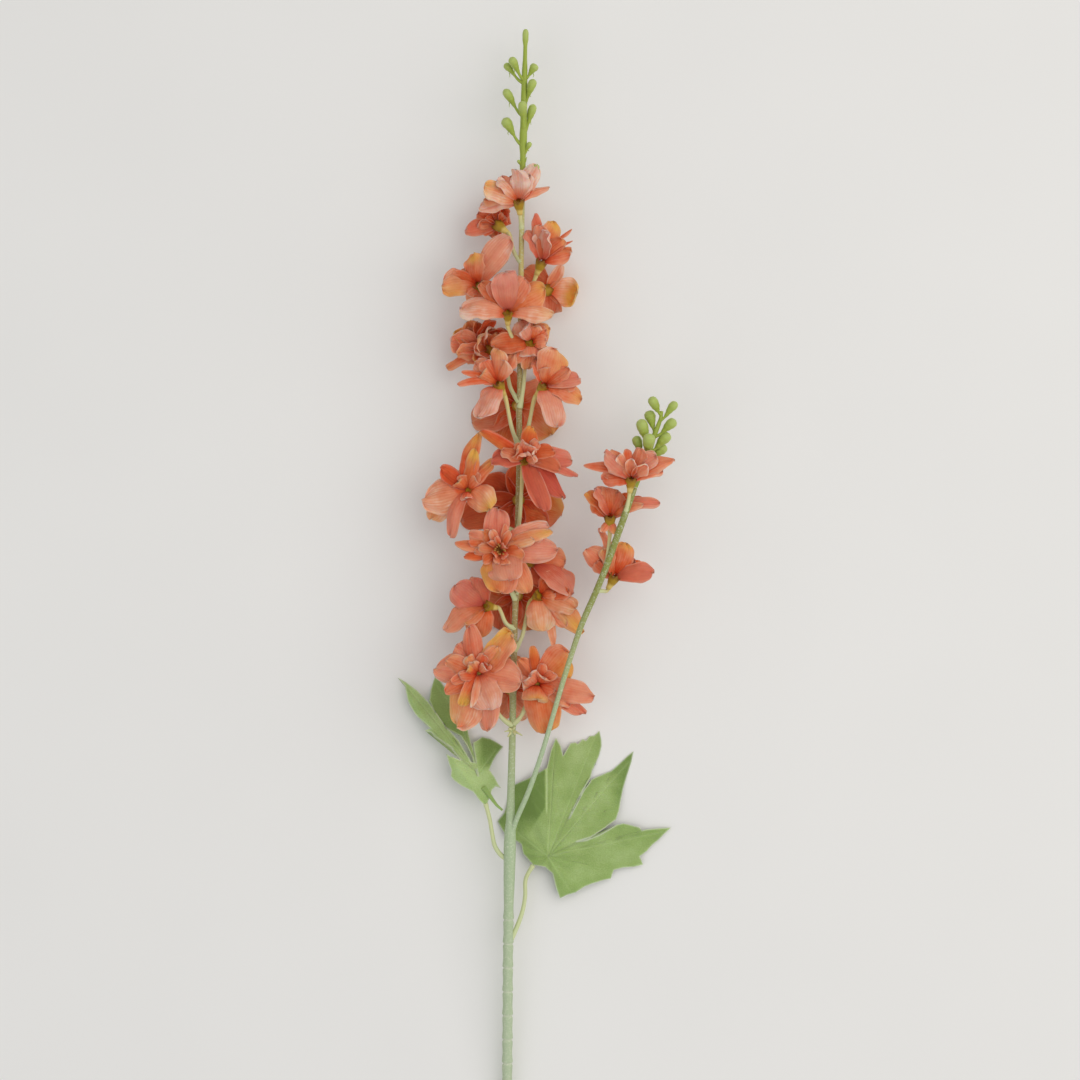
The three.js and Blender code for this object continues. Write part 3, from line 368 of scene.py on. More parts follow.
LEFT_LEAF = Leaf(
    (-21.8, 300.5), [
        (-15.8, 275.8), (-20.6, 280.7), (-25.5, 287.3), (-34, 291.4), (-40.5, 296), (-42.4, 299), (-42, 303.5),
        (-44, 309), (-45.8, 315.4), (-41, 313.4), (-35.4, 311), (-39.4, 316), (-42, 320.6), (-48, 324.4),
        (-54.6, 328.4), (-57.4, 332), (-62.3, 333.2), (-58, 335), (-61.8, 338.6), (-66.8, 342.8), (-70, 346.6),
        (-72.3, 350.5), (-75, 355.6), (-76, 361), (-77.3, 366.7), (-82.8, 373), (-76.4, 369.4), (-68, 363),
        (-60, 354.8), (-52.5, 344.8), (-45.6, 335), (-36.6, 325.2), (-30.6, 315.4), (-27.2, 309.4), (-23.6, 309),
        (-26, 323.6), (-19, 328), (-12.8, 326.4), (-7.6, 323.6), (-3, 320.6), (-7.8, 314.6), (-10.8, 309.6),
        (-13.4, 303.4), (-9.6, 298), (-6.8, 292.6), (-4.8, 289.8), (-8.6, 291), (-11.4, 288.4), (-12.6, 284)],
    [(-78, 368), (-9, 318), (-41, 308), (-58, 333)],
    [(2, 236, 23.4), (-3.8, 239, 22.6), (-9, 246, 21.5), (-11.3, 256, 21), (-13, 266, 21.4), (-16.2, 278.5, 22)])
# The left leaf's upper lobe lies under the rest of it, with a narrow gap beside the heart.
LEFT_LEAF_LOBE = Leaf(
    (-36, 342), [
        (-22.6, 298.4), (-25.8, 311.8), (-30.6, 321.6), (-35.2, 328.6), (-41.4, 331.9), (-48.9, 336.4),
        (-53.6, 343.4), (-59, 355.5), (-57.8, 364.3), (-56.3, 369.5), (-54.8, 373.3), (-50.6, 370), (-48, 366.5),
        (-39, 356.8), (-31.5, 341.8), (-29.3, 330.5), (-27.8, 325.3), (-25.5, 317.8), (-24, 311.8), (-20.9, 298.4)],
    [(-53, 366), (-23, 302)], [])
LEFT_LEAF_STRIP = [(-18, 291, 20), (-13.5, 285, 21), (-8, 277.5, 22), (-3.5, 273.5, 23)]
LEFT_LEAF_STRIP_RADII = (0.5, 0.2)
LEFT_LEAF_STRIP_FLATNESS = 4
LEAF_EDGE_PITCH = 0.9  # between points on its edge
LEAF_TEETH = 0.3  # the deepest
# The rings of a leaf, as shares of the way from its heart to its edge.
LEAF_SHARES = np.concatenate([np.linspace(0.015, 0.96, 40) ** 0.85, [0.975, 0.986, 0.994, 1]])
SIDE_VEINS = (0.3, 0.45, 0.6, 0.75)  # where they leave a main vein, as shares of its length
SIDE_VEIN_TURN = 0.75  # from it, in radians


# ---------------------------------------------------------------------------------------------
# Curves
# ---------------------------------------------------------------------------------------------
def unit(vectors):
    """Vectors divided by their own length."""
    vectors = np.asarray(vectors, float)
    return vectors / np.maximum(np.linalg.norm(vectors, axis=-1, keepdims=True), 1e-9)


def smooth_step(low, high, value):
    """0 below low, 1 above high and 3t^2 - 2t^3 between."""
    share = np.clip((value - low) / (high - low), 0, 1)
    return share * share * (3 - 2 * share)


def through(points, count):
    """
    A smooth curve through points, as count points evenly spaced along it.
    Hermite pieces whose knots are the square root of each chord apart, with the slope at a knot taken from the
    parabola through it and its two neighbours.
    """
    points = np.asarray(points, float)
    steps = np.sqrt(np.linalg.norm(np.diff(points, axis=0), axis=1))[:, None]
    slopes = np.diff(points, axis=0) / steps
    inner = (slopes[:-1] * steps[1:] + slopes[1:] * steps[:-1]) / (steps[:-1] + steps[1:])
    slopes = np.concatenate([slopes[:1], inner, slopes[-1:]])
    fine = np.linspace(0, len(points) - 1, FINE_STEPS * len(points))
    span = np.minimum(fine.astype(int), len(points) - 2)
    t = (fine - span)[:, None]
    curve = (
        (2 * t ** 3 - 3 * t ** 2 + 1) * points[span] + (3 * t ** 2 - 2 * t ** 3) * points[span + 1]
        + ((t ** 3 - 2 * t ** 2 + t) * slopes[span] + (t ** 3 - t ** 2) * slopes[span + 1]) * steps[span]
    )
    return resampled(curve, np.linspace(0, 1, count))


def lengths_along(curve):
    """How far along a curve each of its points is."""
    return np.concatenate([[0], np.cumsum(np.linalg.norm(np.diff(curve, axis=0), axis=1))])


def square_to(axis):
    """Two directions square to an axis and to each other."""
    first = unit(np.cross(axis, np.eye(3)[np.argmin(np.abs(axis))]))
    return first, np.cross(axis, first)


def resampled(curve, shares):
    """Points of a curve at the given shares of its length."""
    length = lengths_along(curve)
    at = np.asarray(shares) * length[-1]
    return np.stack([np.interp(at, length, curve[:, k]) for k in range(3)], -1)


STEM_LINE = through(
    [(x, SPIKE_LENGTH * i / 10, z) for i, (x, z) in enumerate(zip(STEM_SIDEWAYS, STEM_HEIGHT))], STEM_LINE_POINTS)
BRANCH_LINE = through(BRANCH_PATH, FINENESS["branch"][0])
BRANCH_TIP_LINE = through(BRANCH_TIP_PATH, FINENESS["branch tip"][0])


def stem_point(along):
    """The stem's axis at a distance along +Y."""
    return np.array([np.interp(along, STEM_LINE[:, 1], STEM_LINE[:, k]) for k in range(3)]).T


# ---------------------------------------------------------------------------------------------
# Surfaces: points, faces, a cloth map in millimetres and four numbers a point for the materials.
# ---------------------------------------------------------------------------------------------
Surface = namedtuple("Surface", "points quads triangles cloth tint")


def closed_rings(rings, cloth, tint):
    """Rings of points, one after another, joined by quads; a fan closes each end to the middle of its ring."""
    rows, sides = rings.shape[:2]
    index = np.arange(rows * sides).reshape(rows, sides)
    onward = np.roll(index, -1, axis=1)
    quads = np.stack([index[:-1], onward[:-1], onward[1:], index[1:]], -1).reshape(-1, 4)
    first, last = rows * sides, rows * sides + 1
    triangles = np.concatenate([
        np.stack([np.full(sides, first), onward[0], index[0]], -1),
        np.stack([np.full(sides, last), index[-1], onward[-1]], -1)])

    def with_ends(values):
        flat = values.reshape(rows * sides, -1)
        return np.concatenate([flat, values[:1].mean(1), values[-1:].mean(1)])

    points = with_ends(rings)
    if volume(points, quads, triangles) < 0:
        quads, triangles = quads[:, ::-1], triangles[:, ::-1]
    return Surface(points, quads, triangles, with_ends(cloth), with_ends(tint))


def volume(points, quads, triangles):
    """Six times the volume that the faces enclose, which is positive where they point outwards."""
    corners = points[np.concatenate([quads[:, [0, 1, 2]], quads[:, [0, 2, 3]], triangles])]
    return np.einsum("ij,ij->", corners[:, 0], np.cross(corners[:, 1], corners[:, 2]))


def tube(line, radii, sides, tint, flatness=1.0):
    """
    A profile carried along a path: the ring at each point is point + radius (cos a side + sin a other), where side is
    a fixed direction made square to the path, and other is square to both. flatness stretches the second direction.
    """
    radii = np.broadcast_to(np.asarray(radii, float), (len(line),))
    tangent = unit(np.gradient(line, axis=0))
    least = np.eye(3)[np.argmin(np.abs(tangent.mean(0)))]
    side = unit(least - (tangent @ least)[:, None] * tangent)
    other = np.cross(tangent, side)
    angle = np.linspace(0, 2 * np.pi, sides, endpoint=False)
    rings = line[:, None] + radii[:, None, None] * (
        np.cos(angle)[None, :, None] * side[:, None] + flatness * np.sin(angle)[None, :, None] * other[:, None])
    cloth = np.stack(np.broadcast_arrays(radii[:, None] * angle[None], lengths_along(line)[:, None]), -1)
    return closed_rings(rings, cloth, np.broadcast_to(tint[:, None], (len(line), sides, 4)))


def profile(line, stops):
    """Radii along a path from a list of (share of its length, radius), eased between the stops."""
    shares, values = np.array(stops, float).T
    at = np.linspace(0, 1, len(line))
    span = np.clip(np.searchsorted(shares, at, "right") - 1, 0, len(shares) - 2)
    blend = smooth_step(shares[span], shares[span + 1], at)
    return values[span] * (1 - blend) + values[span + 1] * blend


def columns(*values):
    """Four numbers a point, from up to four values or rows of values."""
    shape = np.broadcast_shapes(*(np.shape(v) for v in values))
    parts = [np.broadcast_to(np.asarray(v, float), shape) for v in values]
    parts += [np.zeros(shape)] * (4 - len(parts))
    return np.stack(parts, -1)


def piece(name, surfaces, material, slot, *nodes):
    """One object of the given surfaces, in the frame, riding on the root and standing for the CAD nodes named."""
    offset = np.concatenate([[0], np.cumsum([len(s.points) for s in surfaces])])[:-1]
    points = (np.concatenate([s.points for s in surfaces]) + TO_FRAME) * MM
    quads = np.concatenate([s.quads + o for s, o in zip(surfaces, offset)])
    triangles = np.concatenate([s.triangles + o for s, o in zip(surfaces, offset)])
    corners = np.concatenate([quads.ravel(), triangles.ravel()])
    starts = np.concatenate([np.arange(len(quads)) * 4, len(quads) * 4 + np.arange(len(triangles)) * 3])
    mesh = bpy.data.meshes.new(name)
    mesh.vertices.add(len(points))
    mesh.vertices.foreach_set("co", points.astype(np.float32).ravel())
    mesh.loops.add(len(corners))
    mesh.loops.foreach_set("vertex_index", corners.astype(np.int32))
    mesh.polygons.add(len(starts))
    mesh.polygons.foreach_set("loop_start", starts.astype(np.int32))
    mesh.polygons.foreach_set("use_smooth", np.ones(len(starts), bool))
    mesh.update(calc_edges=True)
    cloth = np.concatenate([s.cloth for s in surfaces])
    mesh.uv_layers.new(name="cloth").data.foreach_set("uv", cloth[corners].astype(np.float32).ravel())
    tint = np.concatenate([s.tint for s in surfaces])
    mesh.attributes.new("tint", "FLOAT_COLOR", "POINT").data.foreach_set("color", tint.astype(np.float32).ravel())
    mesh.materials.append(material)
    made = bpy.data.objects.new(name, mesh)
    bpy.context.scene.collection.objects.link(made)
    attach(made, "root")
    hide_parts(*nodes)
    return made


# ---------------------------------------------------------------------------------------------
# Stems, stalks and calyces
# ---------------------------------------------------------------------------------------------
def cane():
    """
    The main stem. Its radius follows the drawing's list; on the bare lower part it swells beside each joint, and
    powder gathers in the joint as a fine ring exp(-d^2), which the second number of the tint tells.
    """
    count, sides = FINENESS["cane"]
    joints = np.arange(CANE_JOINT_PITCH / 2, CANE_TOP, CANE_JOINT_PITCH)
    stops = [(0, CUT_END_RADIUS)] + [(joint + past, radius) for joint in joints for past, radius in CANE_KNUCKLE]
    line = resampled(STEM_LINE, np.linspace(0, STEM_TOP / SPIKE_LENGTH, count))
    radii = profile(line, [(along / STEM_TOP, radius) for along, radius in stops + STEM_RADII])
    rings = np.exp(-((line[:, 1:2] - joints[None]) / CANE_RING_WIDTH) ** 2).sum(1)
    return tube(line, radii, sides, columns(line[:, 1] / SPIKE_LENGTH, rings))


def stalk_line(root, floret):
    """A flower stalk's path: out of the stem, sagging a little, then along the way the floret faces."""
    axis = unit(floret.faces)
    middle = np.array(floret.calyx, float)
    foot = middle - axis * CALYX_LENGTH / 2
    leaving = root + STALK_LEAVING * (foot - root)
    leaving[1] -= (WHORL_BOW if 1 < floret.joint < WHORL_TOP else STALK_BOW) * np.linalg.norm(foot - root)
    return through([root, leaving, foot - axis * CALYX_LENGTH * STALK_NECK, foot, middle], FINENESS["stalk"][0])


def flower_stalk(root, floret):
    """A tube along the stalk's path, with its colour told by the share of its length."""
    line = stalk_line(root, floret)
    along = np.linspace(0, 1, len(line))
    return tube(line, profile(line, STALK_RADII), FINENESS["stalk"][1], columns(along, 0))


def calyx(floret):
    """
    A cup on the stalk's end: a turned profile whose rim rises in five points, height + rise (1 - |sin 2.5a|).
    It goes up the outside, over the rim and down the inside.
    """
    axis = unit(floret.faces)
    heights, radii, rise, tone = np.array(CALYX_PROFILE).T
    angle = np.linspace(0, 2 * np.pi, CALYX_SIDES, endpoint=False)
    lobes = rise[:, None] * (1 - np.abs(np.sin(CALYX_POINTS / 2 * angle)))[None]
    foot = np.array(floret.calyx) + heights[0] * axis
    return lathe(foot, axis, heights - heights[0], radii, lobes, columns(tone, 0))


def lathe(foot, axis, heights, radii, lobes, tint):
    """Rings round an axis: foot + (height + lobe) axis + radius (cos a e1 + sin a e2)."""
    angle = np.linspace(0, 2 * np.pi, lobes.shape[1], endpoint=False)
    e1, e2 = square_to(axis)
    rings = (
        foot + (heights[:, None] + lobes)[..., None] * axis
        + radii[:, None, None] * (np.cos(angle)[None, :, None] * e1 + np.sin(angle)[None, :, None] * e2))
    cloth = np.stack(np.broadcast_arrays(radii[:, None] * angle[None], heights[:, None]), -1)
    return closed_rings(rings, cloth, np.broadcast_to(tint[:, None], rings.shape[:2] + (4,)))


def whisker(points, radius, tone=0.0):
    """A thin moulded bract that tapers to its end, as the power 0.7 of a straight taper."""
    count, sides = FINENESS["whisker"]
    radii = radius * np.linspace(1, WHISKER_END, count) ** 0.7
    return tube(through(points, count), radii, sides, columns(np.full(count, tone), 0))


def leaf_stalk(leaf):
    """A tube along the leaf's stalk, in the first of the stalks' colours and little of the second."""
    count, sides = FINENESS["leaf stalk"]
    line = through(leaf.stalk, count)
    return tube(line, profile(line, LEAF_STALK_RADII), sides, columns(np.linspace(0, 0.12, count), 0))


# ---------------------------------------------------------------------------------------------
# Buds
# ---------------------------------------------------------------------------------------------
def bud(root, middle, width, length, rng):
    """A club-shaped bud on its stalk, a little flattened and round at the end, its radii set from its tip back."""
    count, sides = FINENESS["bud"]
    centre = np.array(middle, float)
    end = centre + unit(centre - root) * length * 0.56
    bend = root + STALK_LEAVING * (centre - root)
    bend[1] -= STALK_BOW * np.linalg.norm(centre - root)
    line = through([root, bend, centre, end], count)
    whole = np.linalg.norm(np.diff(line, axis=0), axis=1).sum()

    def back(share):
        return 1 - share * length / whole

    shoulder = width * BUD_SHOULDER[1] * rng.uniform(*BUD_SHOULDER_SHARE)
    neck = max(back(BUD_NECK), 0.2)
    foot = max(back(BUD_FOOT[0]), neck + 0.05)
    radii = profile(line, [
        (0, BUD_STALK_RADII[0]), (neck, BUD_STALK_RADII[1]), (foot, width * BUD_FOOT[1]),
        (back(BUD_SHOULDER[0]), shoulder), *((back(share), width * radius) for share, radius in BUD_END)])
    tone = smooth_step(back(0.95), 1, np.linspace(0, 1, count))
    flatness = rng.uniform(*BUD_FLATNESS)
    return tube(line, radii, sides, columns(tone, rng.uniform(0, 1)), flatness)


# ---------------------------------------------------------------------------------------------
# Petals
# ---------------------------------------------------------------------------------------------
def even_draws(seed):
    """An even random draw in 0..1 for each call, the same run of numbers each time."""
    state = int(seed)
    while True:
        state = (state * 1664525 + 1013904223) % 4294967296
        yield state / 4294967296


def half_width(width, share, widest, fullness):
    """Claw + (width - claw) sin(pi/2 rise)^shoulder, closed at the end as 1 - past^fullness, to the same root."""
    rising = np.sin(np.pi / 2 * np.minimum(1, share / widest)) ** PETAL_SHOULDER
    past = np.maximum(0, share - widest) / (1 - widest)
    claw = max(PETAL_CLAW, CLAW_SHARE * width)
    blade = claw + (max(width, claw) - claw) * rising
    return (blade * np.maximum(0, 1 - past ** fullness) ** (1 / fullness) + PETAL_END) / 2


def petal(floret, entry, draw, rng, layer, shape):
    """
    A cut-cloth petal, as a closed shell. u runs across it from -1 to 1 and t along it from 0 to 1.
    Middle line: a parabola from the hub that leaves partly along the floret's axis and bends over to the tip.
    Point = line(t) + across (u half(t) + sweep) - facing (cup + roll + pleats + ruffle + crumple + curl - crease).
    With w = u half(t), the cup is w^2 and the edges roll as |w|^3.5. The pleats are sin(k pi u) fading in from the
    claw, the ruffle is |u|^3 sin(2 pi k t) along the rim, the crumple is a product of two sines, the curl bends the
    end back as a smooth step squared, and the crease is a groove exp(-u^2) along the middle.
    """
    p = Petal(*entry)
    axis = unit(floret.faces)
    calyx_middle = np.array(floret.calyx, float)
    tip = calyx_middle + np.array([p.x, p.y, p.z])
    direction = unit(tip - calyx_middle - axis * HUB_RISE)
    step = CUP_RISE + CUP_LEAN * np.clip(direction @ axis, -0.6, 1) + LAYER_STEP * (layer % 3)
    base = calyx_middle + axis * step + direction * (HUB_RADIUS - ROOT_DEPTH)
    reach = np.linalg.norm(tip - base)
    bend = base + (axis * PETAL_ARCH + direction * (1 - PETAL_ARCH)) * reach / 2
    across, left = petal_across(axis, direction, draw)

    narrow = p.width < NARROW_PETAL
    rows, beside_middle = STRAP_GRID if narrow else PETAL_GRID
    u = np.sin(np.linspace(-1, 1, 2 * beside_middle + 1) * np.pi / 2 * EDGE_CROWDING) \
        / np.sin(np.pi / 2 * EDGE_CROWDING)
    s = np.linspace(0, 1, rows)
    t = np.where(s < 0.5, 2 * PETAL_WIDEST * s,
                 PETAL_WIDEST + (1 - PETAL_WIDEST) * np.sin(np.pi / 2 * np.maximum(0, 2 * s - 1)))
    u, t = u[None, :], t[:, None]

    notch = 0 if narrow else rng.uniform(*NOTCH)
    skew = rng.uniform(*SKEW)
    share = t * (1 + skew * u * t ** 2) - notch * np.exp(-(u / 0.35) ** 2) * t ** 6
    share = np.minimum(share, 1) * np.ones(u.shape)
    wobble = 1 + t * (
        0.05 * np.sin(2 * np.pi * (rng.uniform(*OUTLINE_WAVES) * t + rng.uniform()) + np.pi * (u > 0))
        + 0.02 * np.sin(2 * np.pi * (rng.uniform(*OUTLINE_RIPPLES) * t + rng.uniform()) + 2 * (u > 0)))
    widest = PETAL_WIDEST if narrow else PETAL_WIDEST + rng.uniform(*WIDEST_SHIFT)
    half = half_width(p.width, t, widest, rng.uniform(*FULLNESS)) * wobble
    line = ((1 - share) ** 2)[..., None] * base + (2 * share * (1 - share))[..., None] * bend \
        + (share ** 2)[..., None] * tip
    tangent = unit((1 - share)[..., None] * (bend - base) + share[..., None] * (tip - bend))
    facing = unit(np.cross(tangent, across))
    turn = (rng.uniform(*TWIST) * share ** 1.5)[..., None]
    across = across * np.cos(turn) + facing * np.sin(turn)
    facing = unit(np.cross(tangent, across))
    sweep = rng.uniform(*SWEEP) * reach * np.sin(np.pi * share)

    small = min(1.0, p.width / FULL_PETAL)
    fade = smooth_step(0.05, 0.5, t)
    pleats = shape.pleats * small * (
        np.sin(np.pi * (rng.uniform(*PLEATS) * u + rng.uniform(0, 2))) * (0.7 + 0.3 * np.cos(3 * t))
        + 0.35 * np.sin(np.pi * (rng.uniform(*FINE_PLEATS) * u + rng.uniform(0, 2)))) * fade
    rim = np.abs(u) ** 3 * smooth_step(0.25, 0.7, t)
    ruffle = shape.ruffle * small * (
        rim * np.sin(2 * np.pi * (rng.uniform(*RUFFLES) * t + rng.uniform()) + rng.uniform(*RUFFLE_OFFSET) * (u > 0))
        + t ** 7 * np.sin(np.pi * (rng.uniform(*END_RUFFLES) * u + rng.uniform(0, 2))))
    inner = reach < INNER_REACH
    cup = rng.uniform(*(INNER_CUP if inner else NARROW_CUP if narrow else OUTER_CUP))
    place = half * u
    across_length, bend_length, along_length = CRUMPLE_LENGTHS
    crumple = CRUMPLE_HEIGHT * small * fade * (
        np.sin(place / across_length + rng.uniform(0, 6)
               + 1.4 * np.sin(share * reach / bend_length + rng.uniform(0, 6)))
        * np.sin(share * reach / along_length + rng.uniform(0, 6)))
    rolled = np.where(u > 0, rng.uniform(*EDGE_ROLL), rng.uniform(*EDGE_ROLL))
    roll = (0.6 if inner else 1.0) * rolled * p.width / 2 * np.abs(place / (p.width / 2)) ** 3.5
    crease = rng.uniform(*CREASE) * small * np.exp(-(u / 0.16) ** 2) * np.sin(np.pi * np.minimum(1, t * 1.15))
    curl = rng.uniform(*CURL) * shape.curl * small * smooth_step(0.62, 1.05, t) ** 2
    relief = cup * place ** 2 / (p.width / 2) + roll + pleats + ruffle + crumple + curl - crease
    middle = line + across * (place + sweep)[..., None] - facing * relief[..., None]

    thickness = shape.thickness
    middle[..., 2] = soft_floor(middle[..., 2], FLOOR_GAP + FLOOR_LAYER_GAP * layer + thickness / 2)
    down, over = np.gradient(middle, axis=(0, 1))
    normal = unit(np.cross(down, over))
    edge = np.minimum((1 - np.abs(u)) * half, (1 - t) * reach)
    lift = thickness / 2 * (0.45 + 0.55 * smooth_step(0, 1.5, edge))[..., None] * normal
    rings = np.concatenate([middle + lift, (middle - lift)[:, ::-1]], axis=1)
    rings[..., 2] = np.maximum(rings[..., 2], LEAST_HEIGHT)

    beside = np.clip(1 - 0.55 * np.abs(left * u - p.side), 0, 1)
    begin = 0.45 - 0.4 * abs(p.side)
    ochre = p.ochre * smooth_step(begin, begin + 0.55, share) * (beside if p.side else 0.6 + 0.4 * beside)
    own = rng.uniform()
    if p.ochre < 0:
        ochre = p.ochre * (0.35 + 0.65 * share)
    elif not narrow:
        ochre = ochre + 0.9 * max(0, own - 0.35) * smooth_step(0.7, 1.05, np.maximum(np.abs(u) * share ** 0.5, share))
    # Paleness: paler towards the end and the edges, and deeper towards the claw, which is partly the dye's own and
    # partly painted shade deep in the floret; a little darker along the middle crease, as painted shade.
    pale = p.pale + rng.uniform(*PALENESS_SHIFT) + 0.3 * (share - 0.5) - 0.35 * (1 - smooth_step(0, 0.4, share)) \
        + (0.1 + 0.12 * inner) * u ** 2 * share - 0.05 * np.exp(-(u / 0.14) ** 2)
    # The fourth number, the distance from the cut edge, pales the edge in the material, partly as a painted highlight
    # along the rim.
    tint = np.stack(np.broadcast_arrays(pale, ochre, own, np.clip(edge / 1.2, 0, 1)), -1)
    cloth = np.stack(np.broadcast_arrays(u * p.width / 2 + rng.uniform(0, 200), share * reach), -1)
    return closed_rings(rings, np.concatenate([cloth, cloth[:, ::-1]], 1), np.concatenate([tint, tint[:, ::-1]], 1))


def soft_floor(height, lowest):
    """Heights kept above the lowest, easing onto it within a millimetre: (h + lowest + sqrt(d^2 + e)) / 2."""
    above = height - lowest
    return lowest + (above + np.sqrt(above ** 2 + 0.25)) / 2


def petal_across(axis, direction, draw):
    """The way a petal's width lies, turned a little about its length, and +1 where that is to its left from above."""
    around = unit(np.cross(axis, direction))
    level = unit([-direction[1], direction[0], 0])
    left = 1 if level @ around >= 0 else -1
    across = unit(around + PETAL_OPENNESS * (level * left - around))
    turn = (2 * next(draw) - 1) * PETAL_ROLL
    across = across * np.cos(turn) + np.cross(direction, across) * np.sin(turn) \
        + direction * (direction @ across) * (1 - np.cos(turn))
    return across, left


def hidden_petals(floret, rng):
    """A second layer between the drawn petals, on the side of the floret that turns down, shorter than they are."""
    axis = unit(floret.faces)
    e1, e2 = square_to(axis)
    reach = HIDDEN_SHARE * np.median([np.linalg.norm(row[:3]) for row in floret.petals])
    rows = []
    start = rng.uniform(0, 2 * np.pi)
    for k in range(HIDDEN_PETALS):
        turn = start + k * 2 * np.pi / HIDDEN_PETALS
        opening = rng.uniform(*HIDDEN_OPENING)
        way = np.cos(opening) * axis + np.sin(opening) * (np.cos(turn) * e1 + np.sin(turn) * e2)
        if way[2] > 0.05 or axis[2] < -0.5:
            continue
        end = axis * HUB_RISE + way * reach * rng.uniform(*HIDDEN_REACH)
        rows.append((*end, *(rng.uniform(*each) for each in (HIDDEN_WIDTH, HIDDEN_PALENESS, HIDDEN_OCHRE))))
    return rows


def floret_surfaces(floret, shape):
    """All the petals of one floret, whose random draws start from its own place."""
    seed = floret.calyx[1] * 10
    draw = even_draws(seed)
    rng = np.random.default_rng(int(seed))
    rows = floret.petals + floret.extra + hidden_petals(floret, rng)
    return [petal(floret, row, draw, rng, layer % FLOOR_LAYERS, shape) for layer, row in enumerate(rows)]


def floret_heart(floret, rng):
    """The hub that the petals are threaded on, and its bunch of stamens with a swollen end on each."""
    axis = unit(floret.faces)
    hub = np.array(floret.calyx) + axis * HUB_RISE
    e1, e2 = square_to(axis)
    heights, radii = np.array(HUB_PROFILE).T
    none = np.zeros((len(heights), HUB_SIDES))
    surfaces = [lathe(hub, axis, heights, radii, none, columns(none[:, 0], 0))]
    count, sides = FINENESS["stamen"]
    foot = hub + axis
    for k in range(STAMENS):
        turn = k * GOLDEN_ANGLE + rng.uniform(*STAMEN_TURN)
        out = 0.35 + 0.4 * np.sqrt(k / STAMENS)
        way = unit(axis + out * (np.cos(turn) * e1 + np.sin(turn) * e2))
        length = rng.uniform(*STAMEN_LENGTH)
        end = hub + axis * (1 + length * 0.25) + way * length * 0.8
        line = through([foot, foot + way * length * 0.5, end], count)
        surfaces.append(tube(line, STAMEN_RADII, sides, columns(np.linspace(0.2, 1, count), 0)))
    return surfaces


# ---------------------------------------------------------------------------------------------
# Leaves
# ---------------------------------------------------------------------------------------------
def right_leaf_height(x, y):
    """
    12.5 - out / 8, with five soft waves round the heart that grow towards the edge, nine short creases close to it
    and the first lobe folded down along its left vein.
    """
    hx, hy = RIGHT_LEAF.heart
    out = np.hypot(x - hx, y - hy)
    turn = np.arctan2(y - hy, x - hx)
    creases = 0.55 * np.sin(9 * turn + 1.5 * np.sin(2 * turn)) * np.exp(-((out - 17) / 13) ** 2)
    left = np.maximum(0, (hx - x) - 0.24 * (y - hy) - 1)
    return 12.5 - 0.125 * out + 1.6 * np.sin(5 * turn) * np.minimum(1, out / 60) + creases - 0.2 * left


def right_leaf_tone_and_painted_light(x, y):
    """How pale the print is, with painted shade on the first lobe beyond the line where it turns down and on the
    third lobe's end, and a pale line of painted light along that line.
    """
    # Painted shade on the turned-down part of the first lobe and on the third lobe's end, and a pale line of painted
    # light along the turn.
    painted_fold_shade = smooth_step(0, 2, 29.3 - 0.6 * np.maximum(0, 275 - y) - x) * smooth_step(250, 275, y)
    rim = np.exp(-((x - 29.8) / 0.6) ** 2) * smooth_step(268, 276, y) * smooth_step(312, 302, y)
    far = smooth_step(72, 90, x) * smooth_step(268, 280, y)
    return 0.52 - 0.44 * painted_fold_shade - 0.4 * far + 0.8 * rim


def left_leaf_tone(x, y):
    """How pale the print is: darker on the lobe that turns to the stem, beyond its vein."""
    return 0.68 - 0.45 * smooth_step(-24, -17, x) * smooth_step(300, 310, y)


def left_lobe_height(x, y):
    """The left leaf's height, less 1.2 mm away from the heart, because this lobe is under it."""
    hx, hy = LEFT_LEAF.heart
    return left_leaf_height(x, y) - 1.2 * smooth_step(3, 14, np.hypot(x - hx, y - hy))


def left_lobe_tone_and_painted_shade(x, y):
    """How pale the print is: darker than the rest of the leaf, and most of all in the lobe's middle, where the
    darkening is painted shade of the flowers above it.
    """
    return 0.5 - 0.28 * np.exp(-((y - 340) / 11) ** 2)


def left_leaf_height(x, y):
    """A tent: it falls along its rib and to both sides of it."""
    foot_x, foot_y = LEFT_LEAF.outline[0]
    rib_x, rib_y = unit([-0.57, 0.82])
    along = (x - foot_x) * rib_x + (y - foot_y) * rib_y
    beside = (x - foot_x) * rib_y - (y - foot_y) * rib_x
    fall = np.where(beside > 0, 0.55 * beside, -0.3 * beside)
    return 23.5 - 0.12 * along - fall


def distance_to_ray(x, y, start, end):
    """Distance to the line from start to end, and how far along it the nearest point is, from 0 to 1."""
    start, run = np.array(start, float), np.array(end, float) - start
    share = np.clip(((x - start[0]) * run[0] + (y - start[1]) * run[1]) / (run @ run), 0, 1)
    return np.hypot(x - start[0] - share * run[0], y - start[1] - share * run[1]), share


